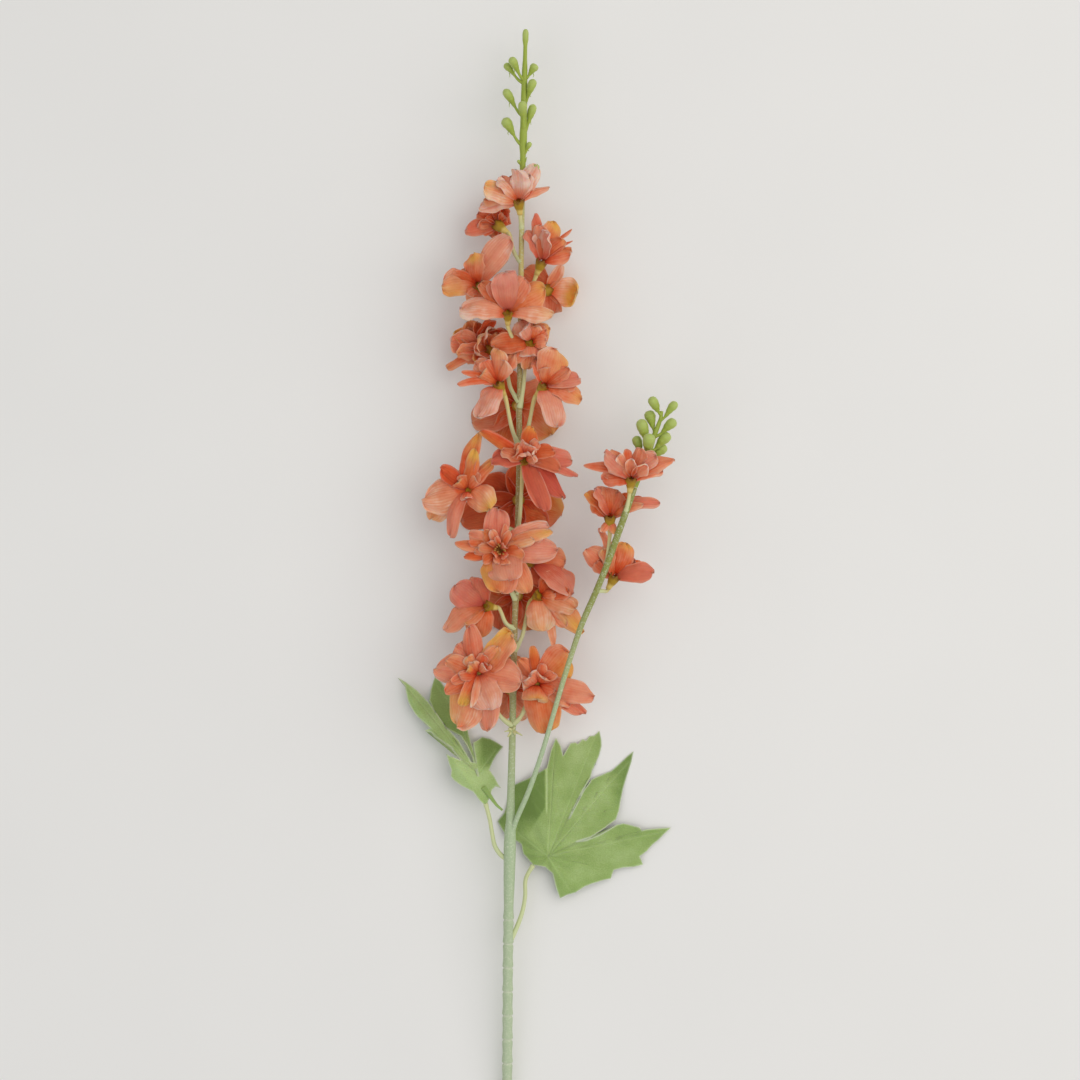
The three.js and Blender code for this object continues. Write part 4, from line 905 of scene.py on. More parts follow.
def leaf_surface(leaf, height, tone, shape, rng):
    """
    A cloth leaf, as a closed shell over rings of its own outline about its heart.
    Point = heart + r (outline(s) - heart), at the leaf's height, less the veins: a groove exp(-(d / w)^2) along each
    main vein and a shallower one along its side veins. The outline is cut in fine uneven teeth.
    """
    outline = np.array(leaf.outline + leaf.outline[:1], float)
    length = lengths_along(outline)
    at = np.unique(np.concatenate([np.arange(0, length[-1], LEAF_EDGE_PITCH), length[:-1]]))
    edge = np.stack([np.interp(at, length, outline[:, k]) for k in range(2)], -1)
    heart = np.array(leaf.heart)
    edge = edge + unit(heart - edge) * rng.uniform(0, LEAF_TEETH, len(edge))[:, None]
    flat = heart + LEAF_SHARES[:, None, None] * (edge - heart)[None]
    x, y = flat[..., 0], flat[..., 1]

    veins = np.zeros(x.shape)
    for end in leaf.veins:
        far, share = distance_to_ray(x, y, heart, end)
        veins = np.maximum(veins, np.exp(-(far / 0.8) ** 2) * (1 - 0.5 * share))
        for start in SIDE_VEINS:
            for turn in (-SIDE_VEIN_TURN, SIDE_VEIN_TURN):
                run = np.array(end, float) - heart
                root = heart + start * run
                way = np.array([run[0] * np.cos(turn) - run[1] * np.sin(turn),
                                run[0] * np.sin(turn) + run[1] * np.cos(turn)])
                far, share = distance_to_ray(x, y, root, root + 0.35 * (1 - start) * way + 0.1 * way)
                veins = np.maximum(veins, 0.45 * np.exp(-(far / 0.6) ** 2) * (1 - share))
    crumple = 0.35 * np.sin(x / 7.3 + 1.3 * np.sin(y / 11)) * np.sin(y / 8.1 + np.sin(x / 9.7))
    z = height(x, y) - shape.vein_depth * veins + crumple * LEAF_SHARES[:, None]
    middle = np.stack([x, y, soft_floor(z, shape.leaf_thickness / 2 + 0.1)], -1)
    around, outward = np.gradient(middle, axis=(1, 0))
    normal = unit(np.cross(around, outward))
    lift = shape.leaf_thickness / 2 * normal
    rings = np.concatenate([(middle + lift), (middle - lift)[::-1]], axis=0)
    rings[..., 2] = np.maximum(rings[..., 2], LEAST_HEIGHT)
    # Distance from the outline, for the pale cut edge, which is partly painted light.
    rim = np.full(x.shape, 1.0)
    for start, end in zip(outline[:-1], outline[1:]):
        rim = np.minimum(rim, distance_to_ray(x, y, start, end)[0] / 1.1)
    # The third number is the print's tone together with the painted shade and painted light from the tone function.
    tint = np.stack(np.broadcast_arrays(veins, 0.0, np.clip(tone(x, y), 0, 1), rim), -1)
    back = tint.copy()
    back[..., 1] = 1
    return closed_rings(rings, np.concatenate([flat, flat[::-1]]), np.concatenate([tint, back[::-1]]))


# ---------------------------------------------------------------------------------------------
# Materials
# ---------------------------------------------------------------------------------------------
def linear(code):
    """An sRGB hex colour, such as "#CF876B", as linear red, green and blue."""
    srgb = np.array([int(code[i:i + 2], 16) for i in (1, 3, 5)]) / 255
    return tuple(np.where(srgb <= 0.04045, srgb / 12.92, ((srgb + 0.055) / 1.055) ** 2.4))


def add(tree, kind, links=None, stops=(), out=0, **settings):
    """
    One node. links goes from an input's name or number to an output or a value (a colour needs no alpha), stops are a
    colour ramp's places and colours, and settings are the node's own. It gives the output that out names, or the node
    where out is None.
    """
    made = tree.nodes.new(kind)
    for name, value in settings.items():
        setattr(made, name, value)
    for key, value in (links or {}).items():
        socket = made.inputs[key]
        if isinstance(value, bpy.types.NodeSocket):
            tree.links.new(value, socket)
        else:
            socket.default_value = (*value[:3], 1) if socket.type == "RGBA" else value
    for _ in stops[2:]:
        made.color_ramp.elements.new(0.5)
    for element, (place, colour) in zip(made.color_ramp.elements if stops else (), stops):
        element.position = place
        element.color = (*colour[:3], 1)
    return made if out is None else made.outputs[out]


def new_material(name):
    """An empty material and its node tree."""
    material = bpy.data.materials.new(name)
    material.use_nodes = True
    material.node_tree.nodes.clear()
    return material, material.node_tree


def petal_cloth(colours):
    """
    Polyester petal cloth, dip-dyed, then pleated and cupped between hot moulds. Dye pools unevenly, so each petal
    shades from a red claw to a dusty pink rim, with ochre sprayed on ends and edges; the deeper red at the claw is
    partly painted shade deep in the floret, the pleat lines carry a little painted shade and the pale cut edge is
    partly a painted highlight. Fibres run from claw to rim.
    """
    material, tree = new_material("petal_polyester_dyed_hot_moulded")
    tint = add(tree, "ShaderNodeAttribute", attribute_name="tint", out=None)
    pale, ochre, own = add(tree, "ShaderNodeSeparateColor", {0: tint.outputs["Color"]}, out=None).outputs[:3]
    cloth = add(tree, "ShaderNodeUVMap", uv_map="cloth")
    # Fibres: 0.9 mm across and ten times as long.
    along = add(tree, "ShaderNodeMapping", {"Vector": cloth, "Scale": (1.1, 0.09, 1)})
    fibres = add(tree, "ShaderNodeTexNoise", {"Vector": along, "Scale": 1.0, "Detail": 3.0, "Roughness": 0.6})
    # Dye clouds about 7 mm across.
    clouds = add(tree, "ShaderNodeTexNoise", {"Vector": cloth, "Scale": 0.14, "Detail": 2.0})
    # Fine pleats 2 mm apart at the petal's widest, which meet at the claw.
    pleats = add(
        tree, "ShaderNodeTexWave",
        {"Vector": cloth, "Scale": 0.16, "Distortion": 3.2, "Detail": 2.0, "Detail Scale": 0.35},
        bands_direction="X", out=1)
    depth = pale
    # The pleats' small share paints shade along the pleat lines; fibres and dye clouds are the cloth's own.
    for pattern, amount in ((fibres, 0.28), (clouds, 0.45), (pleats, 0.06)):
        depth = add(tree, "ShaderNodeMath", {0: pattern, 1: amount, 2: depth}, operation="MULTIPLY_ADD")
    depth = add(tree, "ShaderNodeMath", {0: depth, 1: 0.375}, operation="SUBTRACT")
    colour = add(tree, "ShaderNodeValToRGB", {0: depth}, [
        (0.0, colours.petal_dark_and_painted_shade), (0.4, colours.petal_middle), (0.75, colours.petal_light),
        (1.0, colours.petal_pale_and_painted_highlight)])
    # No two dips are the same: some petals come out more orange.
    orange = add(tree, "ShaderNodeMath", {0: own, 1: 0.12}, operation="MULTIPLY")
    colour = add(tree, "ShaderNodeMix", {0: orange, 6: colour, 7: colours.petal_ochre}, data_type="RGBA", out=2)
    # The dusty rose covers a whole petal.
    rose = add(tree, "ShaderNodeMath", {0: ochre, 1: -1.0}, operation="MULTIPLY", use_clamp=True)
    colour = add(tree, "ShaderNodeMix", {0: rose, 6: colour, 7: colours.petal_rose}, data_type="RGBA", out=2)
    # The spray lies in patches: its amount times (cloud + amount - 0.38).
    patch = add(tree, "ShaderNodeMath", {0: clouds, 1: ochre}, operation="ADD")
    patch = add(tree, "ShaderNodeMath", {0: patch, 1: 0.38}, operation="SUBTRACT", use_clamp=True)
    patch = add(tree, "ShaderNodeMath", {0: patch, 1: ochre}, operation="MULTIPLY", use_clamp=True)
    colour = add(tree, "ShaderNodeMix", {0: patch, 6: colour, 7: colours.petal_ochre}, data_type="RGBA", out=2)
    # The hot knife leaves a thin pale edge; part of its paleness is a painted highlight along the rim.
    cut = add(tree, "ShaderNodeMapRange", {0: tint.outputs["Alpha"], 1: 0.0, 2: 1.0, 3: 0.22, 4: 0.0})
    colour = add(tree, "ShaderNodeMix", {0: cut, 6: colour, 7: colours.petal_pale_and_painted_highlight}, data_type="RGBA", out=2)
    # Weave: threads are 0.25 mm apart, drawn at 0.5 mm so that they show.
    thread = {"Vector": cloth, "Scale": 0.63, "Distortion": 0.4}
    warp, weft = (add(tree, "ShaderNodeTexWave", thread, bands_direction=way, out=1) for way in "XY")
    threads = add(tree, "ShaderNodeMath", {0: warp, 1: weft}, operation="ADD")
    height = fibres
    for pattern, amount in ((threads, 0.08), (pleats, 0.6), (clouds, 3.0)):
        height = add(tree, "ShaderNodeMath", {0: pattern, 1: amount, 2: height}, operation="MULTIPLY_ADD")
    bump = add(tree, "ShaderNodeBump", {"Height": height, "Strength": 0.6, "Distance": 0.00025})
    surface = add(tree, "ShaderNodeBsdfPrincipled", {
        "Base Color": colour, "Normal": bump, "Roughness": 0.8, "Specular IOR Level": 0.08,
        "Sheen Weight": 0.03, "Sheen Roughness": 0.5,
        "Subsurface Weight": 0.35, "Subsurface Scale": 0.003, "Subsurface Radius": (1.0, 0.35, 0.15)})
    add(tree, "ShaderNodeOutputMaterial", {"Surface": surface}, out=None)
    return material


def leaf_cloth(colours):
    """
    Polyester leaf cloth, printed and pressed in a veined mould. A light dusty bloom over mid green, a darker back,
    a fine felt-like grain and pale veins. Some lobes carry painted shade, and the pale cut edges are partly painted
    light.
    """
    material, tree = new_material("leaf_polyester_printed_pressed")
    tint = add(tree, "ShaderNodeAttribute", attribute_name="tint", out=None)
    vein, back, pale = add(tree, "ShaderNodeSeparateColor", {0: tint.outputs["Color"]}, out=None).outputs[:3]
    cloth = add(tree, "ShaderNodeUVMap", uv_map="cloth")
    # Print clouds 20 mm across, and a felt grain of 1 mm.
    clouds = add(tree, "ShaderNodeTexNoise", {"Vector": cloth, "Scale": 0.045, "Detail": 3.0})
    grain = add(tree, "ShaderNodeTexNoise", {"Vector": cloth, "Scale": 1.1, "Detail": 3.0, "Roughness": 0.7})
    # The tint's third number is the print's tone, with painted shade on some lobes and a pale line of painted light.
    depth = pale
    for pattern, amount in ((grain, 0.7), (clouds, 0.8)):
        depth = add(tree, "ShaderNodeMath", {0: pattern, 1: amount, 2: depth}, operation="MULTIPLY_ADD")
    depth = add(tree, "ShaderNodeMath", {0: depth, 1: 0.75}, operation="SUBTRACT")
    colour = add(tree, "ShaderNodeValToRGB", {0: depth}, [
        (0.1, colours.leaf_dark_and_painted_shade), (0.5, colours.leaf_green), (0.85, colours.leaf_pale)])
    drawn = add(tree, "ShaderNodeMath", {0: vein, 1: 0.4}, operation="MULTIPLY")
    # Pale cut edges: partly the cloth's own, partly painted light where lit board would show through the slits
    # between lobes.
    cut = add(tree, "ShaderNodeMapRange", {0: tint.outputs["Alpha"], 1: 0.0, 2: 1.0, 3: 0.7, 4: 0.0})
    for share, paint in ((drawn, colours.leaf_pale), (cut, colours.leaf_edge_and_painted_light)):
        colour = add(tree, "ShaderNodeMix", {0: share, 6: colour, 7: paint}, data_type="RGBA", out=2)
    under = add(tree, "ShaderNodeMath", {0: back, 1: 0.5}, operation="MULTIPLY")
    colour = add(tree, "ShaderNodeMix", {0: under, 6: colour, 7: colours.leaf_dark_and_painted_shade}, data_type="RGBA", out=2)
    bump = add(tree, "ShaderNodeBump", {"Height": grain, "Strength": 0.5, "Distance": 0.0003})
    surface = add(tree, "ShaderNodeBsdfPrincipled", {
        "Base Color": colour, "Normal": bump, "Roughness": 0.8, "Specular IOR Level": 0.2,
        "Sheen Weight": 0.1, "Sheen Roughness": 0.6,
        "Subsurface Weight": 0.2, "Subsurface Scale": 0.002, "Subsurface Radius": (0.6, 1.0, 0.2)})
    add(tree, "ShaderNodeOutputMaterial", {"Surface": surface}, out=None)
    return material


def stem_plastic(name, colours_along, dust_colour):
    """
    Polyethylene stem, injection moulded over a former and dusted with pale powder paint, so chalky specks lie on a
    colour that changes along it, with fine draw lines.
    """
    material, tree = new_material(name)
    tint = add(tree, "ShaderNodeAttribute", attribute_name="tint")
    along, ring = add(tree, "ShaderNodeSeparateColor", {0: tint}, out=None).outputs[:2]
    place = add(tree, "ShaderNodeTexCoord", out="Object")
    # Draw lines 0.7 mm apart, and specks of about 1.5 mm.
    streak = add(tree, "ShaderNodeMapping", {"Vector": place, "Scale": (1400, 60, 1400)})
    lines = add(tree, "ShaderNodeTexNoise", {"Vector": streak, "Scale": 1.0, "Detail": 3.0, "Roughness": 0.6})
    dust = add(tree, "ShaderNodeTexNoise", {"Vector": place, "Scale": 650.0, "Detail": 3.0, "Roughness": 0.75})
    uneven = add(tree, "ShaderNodeMapRange", {0: lines, 1: 0.0, 2: 1.0, 3: -0.03, 4: 0.03})
    height = add(tree, "ShaderNodeMath", {0: along, 1: uneven}, operation="ADD")
    colour = add(tree, "ShaderNodeValToRGB", {0: height}, colours_along)
    specks = add(tree, "ShaderNodeMapRange", {0: dust, 1: 0.5, 2: 0.66, 3: 0.0, 4: 0.6})
    powder = add(tree, "ShaderNodeMath", {0: ring, 1: 0.6, 2: specks}, operation="MULTIPLY_ADD", use_clamp=True)
    colour = add(tree, "ShaderNodeMix", {0: powder, 6: colour, 7: dust_colour}, data_type="RGBA", out=2)
    bump = add(tree, "ShaderNodeBump", {"Height": lines, "Strength": 0.5, "Distance": 0.0002})
    surface = add(tree, "ShaderNodeBsdfPrincipled", {
        "Base Color": colour, "Normal": bump, "Roughness": 0.62, "Specular IOR Level": 0.3, "IOR": 1.5})
    add(tree, "ShaderNodeOutputMaterial", {"Surface": surface}, out=None)
    return material


def stalk_plastic(name, colours_from_root, **shader):
    """Soft polyethylene, moulded in a pale colour, slightly waxy, mottled and shaded along its length."""
    material, tree = new_material(name)
    tint = add(tree, "ShaderNodeAttribute", attribute_name="tint")
    along = add(tree, "ShaderNodeSeparateColor", {0: tint})
    place = add(tree, "ShaderNodeTexCoord", out="Object")
    mottle = add(tree, "ShaderNodeTexNoise", {"Vector": place, "Scale": 420.0, "Detail": 3.0})  # spots of 2 mm
    uneven = add(tree, "ShaderNodeMapRange", {0: mottle, 1: 0.0, 2: 1.0, 3: -0.2, 4: 0.2})
    share = add(tree, "ShaderNodeMath", {0: along, 1: uneven}, operation="ADD")
    last = len(colours_from_root) - 1
    colour = add(tree, "ShaderNodeValToRGB", {0: share}, [(i / last, c) for i, c in enumerate(colours_from_root)])
    bump = add(tree, "ShaderNodeBump", {"Height": mottle, "Strength": 0.3, "Distance": 0.0003})
    surface = add(tree, "ShaderNodeBsdfPrincipled", {
        "Base Color": colour, "Normal": bump, "Roughness": 0.5, "Specular IOR Level": 0.35, "IOR": 1.5, **shader})
    add(tree, "ShaderNodeOutputMaterial", {"Surface": surface}, out=None)
    return material


def painted_board(colour):
    """Smooth board under matt emulsion, rolled: nearly even, with a very faint mottle."""
    material, tree = new_material("backing_board_matt_emulsion")
    place = add(tree, "ShaderNodeTexCoord", out="Object")
    mottle = add(tree, "ShaderNodeTexNoise", {"Vector": place, "Scale": 6.0, "Detail": 2.0})
    even = add(tree, "ShaderNodeValToRGB", {0: mottle}, [(0.3, tuple(c * 0.985 for c in colour)), (0.7, colour)])
    surface = add(tree, "ShaderNodeBsdfPrincipled", {
        "Base Color": even, "Roughness": 0.9, "Specular IOR Level": 0.2})
    add(tree, "ShaderNodeOutputMaterial", {"Surface": surface}, out=None)
    return material


# ---------------------------------------------------------------------------------------------
# Settings
# ---------------------------------------------------------------------------------------------
def shade(name, description, code):
    """A colour setting whose default is an sRGB hex value."""
    return bpy.props.FloatVectorProperty(
        name=name, description=description, subtype="COLOR", size=3, min=0, max=1, default=linear(code))


def distance(name, description, default):
    """A length setting, in metres."""
    return bpy.props.FloatProperty(
        name=name, description=description, subtype="DISTANCE", unit="LENGTH", min=0, precision=5, default=default)


def power(name, description, default):
    """A light's power, in watts."""
    return bpy.props.FloatProperty(name=name, description=description, unit="POWER", min=0, default=default)


class SpikeShape(bpy.types.PropertyGroup):
    """Sizes of the cloth."""
    petal_thickness: distance("Petal thickness", "Thickness of the petal cloth", 0.00042)
    pleat_depth: distance("Pleat depth", "How deep the pleats of a full-width petal are", 0.00058)
    ruffle_height: distance("Ruffle height", "How far the rim of a full-width petal waves", 0.0020)
    tip_curl: distance("Tip curl", "How far a petal's end bends back", 0.0055)
    leaf_thickness: distance("Leaf thickness", "Thickness of the leaf cloth", 0.00055)
    vein_depth: distance("Vein depth", "How deep the leaf's veins are pressed", 0.00055)


class SpikeColours(bpy.types.PropertyGroup):
    """Dyes and paints."""
    # Also the painted shade at the claws, deep in each floret.
    petal_dark_and_painted_shade: shade("Petal, dark", "Dye where it is deepest", "#B92A0B")
    petal_middle: shade("Petal, middle", "Dye in the middle of its range", "#D95B35")
    petal_light: shade("Petal, light", "Dye towards the rim", "#EB9575")
    # Also the pale cut edge, which is partly a painted highlight along each rim.
    petal_pale_and_painted_highlight: shade("Petal, pale", "Dye where it is thinnest", "#FCD5C3")
    petal_ochre: shade("Petal, ochre", "Spray on ends and edges", "#E8A850")
    petal_rose: shade("Petal, rose", "Second dip of some petals", "#CD8F86")
    # Also the painted shade on the leaves' turned-down and overshadowed parts.
    leaf_dark_and_painted_shade: shade("Leaf, dark", "Shaded print and back", "#76904A")
    leaf_green: shade("Leaf, green", "Main print", "#98B067")
    leaf_pale: shade("Leaf, pale", "Veins", "#B7CC8C")
    # Partly painted light along the slits between the lobes.
    leaf_edge_and_painted_light: shade("Leaf, edge", "Cut edges", "#DCE4C8")
    stem_base: shade("Stem, base", "At the cut end", "#B6C4A3")
    stem_low: shade("Stem, low", "Bare lower stem", "#B2C29D")
    stem_fork: shade("Stem, fork", "Round the fork", "#ADC097")
    stem_green: shade("Stem, green", "Between leaves and flowers", "#A7B079")
    stem_olive: shade("Stem, olive", "Among the flowers", "#A5925C")
    stem_yellow: shade("Stem, yellow", "Near the top florets", "#CDBB70")
    stem_dust: shade("Stem, dust", "Powder paint", "#D5D9C0")
    branch_olive: shade("Branch, olive", "Upper half of the side branch", "#8D9249")
    stalk_green: shade("Stalk, green", "Flower and leaf stalks", "#CDD6A2")
    stalk_pale: shade("Stalk, pale", "Flower and leaf stalks, lighter part", "#D2CD93")
    stalk_neck: shade("Stalk, neck", "Under the calyx", "#DCC06C")
    calyx_olive: shade("Calyx, olive", "Middle of the calyx", "#A9841C")
    calyx_brown: shade("Calyx, brown", "Points of the calyx", "#7E5204")
    bud_green: shade("Bud, green", "Buds and their stalks", "#9EAD43")
    bud_light: shade("Bud, light", "Ends of the buds", "#B4C26C")
    stamen_ochre: shade("Stamen, ochre", "Stamens", "#C08A45")
    board: shade("Board", "The pale board underneath", "#EFEDE9")


class SpikeStage(bpy.types.PropertyGroup):
    """Board, lights and camera."""
    camera_height: distance("Camera height", "Height of the camera above the board", 4.05)
    view_width: distance("View width", "Width that the camera sees at the spike's height", 0.81)
    board_size: distance("Board size", "Length of a side of the board", 6.0)
    key_power: power("Key light", "Power of the window light", 76)
    fill_power: power("Fill light", "Power of the fill light", 18)


Shape = namedtuple("Shape", "thickness pleats ruffle curl leaf_thickness vein_depth")


def shape_in_mm(settings):
    """The cloth settings in millimetres, for the surface functions."""
    return Shape(*(value / MM for value in (
        settings.petal_thickness, settings.pleat_depth, settings.ruffle_height, settings.tip_curl,
        settings.leaf_thickness, settings.vein_depth)))


# ---------------------------------------------------------------------------------------------
# Operators
# ---------------------------------------------------------------------------------------------
class MakeStage(bpy.types.Operator):
    """Makes the pale board, the soft lights and the camera that looks straight down."""
    bl_idname = "delphinium.stage"
    bl_label = "Board, Lights and Camera"

    def execute(self, context):
        stage = context.scene.spike_stage
        half = stage.board_size / 2
        mesh = bpy.data.meshes.new("board")
        mesh.from_pydata([(-half, -half, 0), (half, -half, 0), (half, half, 0), (-half, half, 0)], [], [(0, 1, 2, 3)])
        board = bpy.data.objects.new("board", mesh)
        mesh.materials.append(painted_board(tuple(context.scene.spike_colours.board)))
        context.scene.collection.objects.link(board)
        add_light("window", *WINDOW_LIGHT, stage.key_power)
        add_light("fill", *FILL_LIGHT, stage.fill_power)
        world = bpy.data.worlds.new("room")
        world.use_nodes = True
        background = world.node_tree.nodes["Background"]
        background.inputs["Color"].default_value = ROOM_COLOUR
        background.inputs["Strength"].default_value = ROOM_STRENGTH
        context.scene.world = world
        context.scene.view_settings.view_transform = "Standard"
        camera = bpy.data.cameras.new("camera")
        camera.lens = camera.sensor_width * (stage.camera_height - VIEW_LEVEL) / stage.view_width
        camera.clip_end = 50
        made = bpy.data.objects.new("camera", camera)
        made.location = (*VIEW_MIDDLE, stage.camera_height)
        context.scene.collection.objects.link(made)
        context.scene.camera = made
        return {"FINISHED"}


def add_light(name, place, size, colour, energy):
    """A large square light at a place, turned towards the spike."""
    light = bpy.data.lights.new(name, "AREA")
    light.size = size
    light.energy = energy
    light.color = colour
    made = bpy.data.objects.new(name, light)
    made.location = place
    made.rotation_euler = (-Vector(place)).to_track_quat("-Z", "Y").to_euler()
    bpy.context.scene.collection.objects.link(made)


class MakeStem(bpy.types.Operator):
    """Makes the main stem, its flower stalks and leaf stalks."""
    bl_idname = "delphinium.stem"
    bl_label = "Stem and Stalks"

    def execute(self, context):
        colours = context.scene.spike_colours
        dusted = stem_plastic("stem_polyethylene_moulded_dusted", [
            (0.0, colours.stem_base), (0.2, colours.stem_low), (0.3, colours.stem_fork), (0.4, colours.stem_green),
            (0.47, colours.stem_olive), (0.68, colours.stem_olive), (0.78, colours.stem_yellow),
            (0.87, colours.stem_green)], colours.stem_dust)
        pale = stalk_plastic(
            "stalk_polyethylene_moulded", [colours.stalk_green, colours.stalk_pale, colours.stalk_neck])
        stalks = [flower_stalk(stem_point(f.joint), f) for f in FLORETS]
        whorl = stem_point(WHORL_AT)
        stalks += [
            whisker([whorl + way * 0.2, whorl + way * 0.6 + (0, 0, 1), whorl + way], radius, 0.3)
            for way, radius in WHORL_BRACTS]
        stalks += [leaf_stalk(leaf) for leaf in (RIGHT_LEAF, LEFT_LEAF)]
        piece("main_stem_cane", [cane()], dusted, "stem", "main_stem")
        piece("flower_and_leaf_stalks", stalks, pale, "stem", "main_stem")
        return {"FINISHED"}


class MakeBranch(bpy.types.Operator):
    """Makes the side branch and its three flower stalks."""
    bl_idname = "delphinium.branch"
    bl_label = "Side Branch"

    def execute(self, context):
        colours = context.scene.spike_colours
        dusted = stem_plastic("branch_polyethylene_moulded_dusted", [
            (0.0, colours.stem_fork), (0.32, colours.stem_fork), (0.5, colours.stem_green),
            (0.7, colours.branch_olive), (1.0, colours.branch_olive)], colours.stem_dust)
        pale = bpy.data.materials["stalk_polyethylene_moulded"]
        count, sides = FINENESS["branch"]
        rod = tube(BRANCH_LINE, profile(BRANCH_LINE, BRANCH_RADII), sides, columns(np.linspace(0, 1, count), 0))
        stalks = [flower_stalk(resampled(BRANCH_LINE, [f.joint])[0], f) for f in SIDE_FLORETS]
        piece("side_branch_rod", [rod], dusted, "branch", "side_branch")
        piece("side_flower_stalks", stalks, pale, "branch", "side_branch")
        return {"FINISHED"}


class MakeCalyces(bpy.types.Operator):
    """Makes the calyx under every floret, and the hub and stamens inside the open ones."""
    bl_idname = "delphinium.calyces"
    bl_label = "Calyces and Stamens"

    def execute(self, context):
        colours = context.scene.spike_colours
        olive = stalk_plastic(
            "calyx_polyethylene_painted",
            [colours.stalk_neck, colours.stalk_neck, colours.calyx_olive, colours.calyx_olive, colours.calyx_brown])
        ochre = stalk_plastic("stamen_flocked_wire", [colours.calyx_brown, colours.stamen_ochre], Roughness=0.85)
        rng = np.random.default_rng(STAMEN_SEED)
        piece("calyces", [calyx(f) for f in FLORETS], olive, "stem", "main_stem")
        piece("side_calyces", [calyx(f) for f in SIDE_FLORETS], olive, "branch", "side_branch")
        hearts = [s for f in FLORETS if f.name in OPEN_FLORETS for s in floret_heart(f, rng)]
        piece("floret_hearts", hearts, ochre, "petals", *OPEN_FLORETS)
        return {"FINISHED"}


class MakeBuds(bpy.types.Operator):
    """Makes the bright green ends of the stem and the branch with their buds."""
    bl_idname = "delphinium.buds"
    bl_label = "Bud Tips"

    def execute(self, context):
        colours = context.scene.spike_colours
        green = stalk_plastic(
            "bud_polyethylene_moulded", [colours.bud_green, colours.bud_light], **{
                "Sheen Weight": 0.55, "Sheen Roughness": 0.35, "Sheen Tint": (0.85, 0.95, 0.6),
                "Subsurface Weight": 0.25, "Subsurface Scale": 0.002, "Subsurface Radius": (0.7, 1.0, 0.2)})
        rng = np.random.default_rng(BUD_SEED)
        count, sides = FINENESS["tip"]
        line = resampled(STEM_LINE, np.linspace(STEM_TOP / SPIKE_LENGTH, 1, count))
        tone = smooth_step(0.85, 1, np.linspace(0, 1, count))
        tip = [tube(line, profile(line, TIP_RADII), sides, columns(tone, 0.3))]
        tip += [bud(stem_point(joint), middle, width, length, rng) for middle, joint, width, length in SPIKE_BUDS]
        tip += [whisker([stem_point(along) + aside for along, aside in stub], TIP_STUB_RADIUS) for stub in TIP_STUBS]
        for middle, _, width, length in SPIKE_BUDS[:WHISKERED_BUDS]:
            foot = np.array(middle) - (0, 0.35 * length, 0)
            hang = rng.uniform(*WHISKER_HANG)
            bend = foot + (rng.uniform(*WHISKER_ASIDE), -0.6 * hang, 0.5)
            tip.append(whisker([foot, bend, foot - (0, hang, -0.5)], WHISKER_RADIUS))
        piece("spike_bud_tip", tip, green, "buds", "spike_tip")
        count, sides = FINENESS["branch tip"]
        radii = profile(BRANCH_TIP_LINE, BRANCH_TIP_RADII)
        tip = [tube(BRANCH_TIP_LINE, radii, sides, columns(np.zeros(count), 0.3))]
        tip += [
            bud(resampled(BRANCH_TIP_LINE, [joint])[0], middle, width, length, rng)
            for middle, joint, width, length in SIDE_BUDS]
        piece("side_bud_tip", tip, green, "buds", "side_tip")
        return {"FINISHED"}


class MakeFlorets(bpy.types.Operator):
    """Makes the petals of every floret, a piece for each."""
    bl_idname = "delphinium.florets"
    bl_label = "Florets"

    def execute(self, context):
        cloth = petal_cloth(context.scene.spike_colours)
        shape = shape_in_mm(context.scene.spike_shape)
        for floret in FLORETS + SIDE_FLORETS:
            piece(f"{floret.name}_petals", floret_surfaces(floret, shape), cloth, "petals", floret.name)
        return {"FINISHED"}


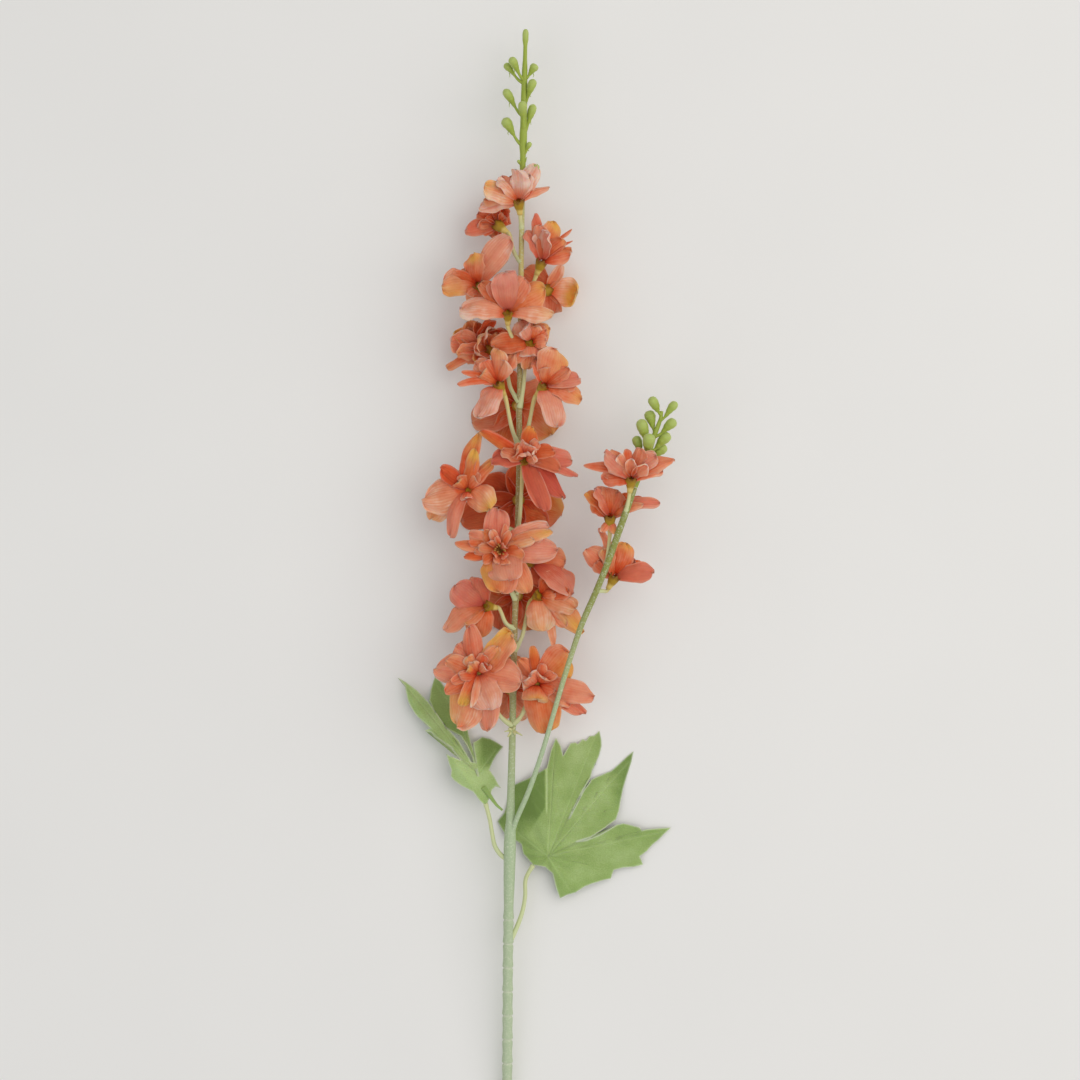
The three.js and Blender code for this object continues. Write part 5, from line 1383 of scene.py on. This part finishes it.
class MakeLeaves(bpy.types.Operator):
    """Makes the two lobed leaves."""
    bl_idname = "delphinium.leaves"
    bl_label = "Leaves"

    def execute(self, context):
        cloth = leaf_cloth(context.scene.spike_colours)
        shape = shape_in_mm(context.scene.spike_shape)
        rng = np.random.default_rng(LEAF_SEED)
        right = [leaf_surface(RIGHT_LEAF, right_leaf_height, right_leaf_tone_and_painted_light, shape, rng)]
        left = [
            leaf_surface(LEFT_LEAF, left_leaf_height, left_leaf_tone, shape, rng),
            leaf_surface(LEFT_LEAF_LOBE, left_lobe_height, left_lobe_tone_and_painted_shade, shape, rng)]
        count, sides = FINENESS["strip"]
        left.append(tube(
            through(LEFT_LEAF_STRIP, count), np.linspace(*LEFT_LEAF_STRIP_RADII, count), sides,
            columns(np.zeros(count), 0, 0.5, 1), LEFT_LEAF_STRIP_FLATNESS))
        piece("leaf_right_blade", right, cloth, "leaves", "leaf_right")
        piece("leaf_left_blade", left, cloth, "leaves", "leaf_left")
        return {"FINISHED"}


class DelphiniumPanel(bpy.types.Panel):
    """Lists the spike's settings and the steps that make it."""
    bl_idname = "VIEW3D_PT_delphinium"
    bl_label = "Delphinium Spike"
    bl_space_type = "VIEW_3D"
    bl_region_type = "UI"
    bl_category = "Delphinium"

    def draw(self, context):
        for settings in (context.scene.spike_shape, context.scene.spike_colours, context.scene.spike_stage):
            box = self.layout.box()
            for name in settings.__annotations__:
                box.prop(settings, name)
        for step in STEPS:
            self.layout.operator(step.bl_idname)


STEPS = (MakeStage, MakeStem, MakeBranch, MakeCalyces, MakeBuds, MakeFlorets, MakeLeaves)
CLASSES = (SpikeShape, SpikeColours, SpikeStage, *STEPS, DelphiniumPanel)


def register():
    for each in CLASSES:
        bpy.utils.register_class(each)
    bpy.types.Scene.spike_shape = bpy.props.PointerProperty(type=SpikeShape)
    bpy.types.Scene.spike_colours = bpy.props.PointerProperty(type=SpikeColours)
    bpy.types.Scene.spike_stage = bpy.props.PointerProperty(type=SpikeStage)


def unregister():
    del bpy.types.Scene.spike_shape, bpy.types.Scene.spike_colours, bpy.types.Scene.spike_stage
    for each in reversed(CLASSES):
        bpy.utils.unregister_class(each)


def main():
    register()
    bpy.ops.delphinium.stage()
    bpy.ops.delphinium.stem()
    bpy.ops.delphinium.branch()
    bpy.ops.delphinium.calyces()
    bpy.ops.delphinium.buds()
    bpy.ops.delphinium.florets()
    bpy.ops.delphinium.leaves()
    bpy.context.view_layer.update()


if __name__ == "__main__":
    main()
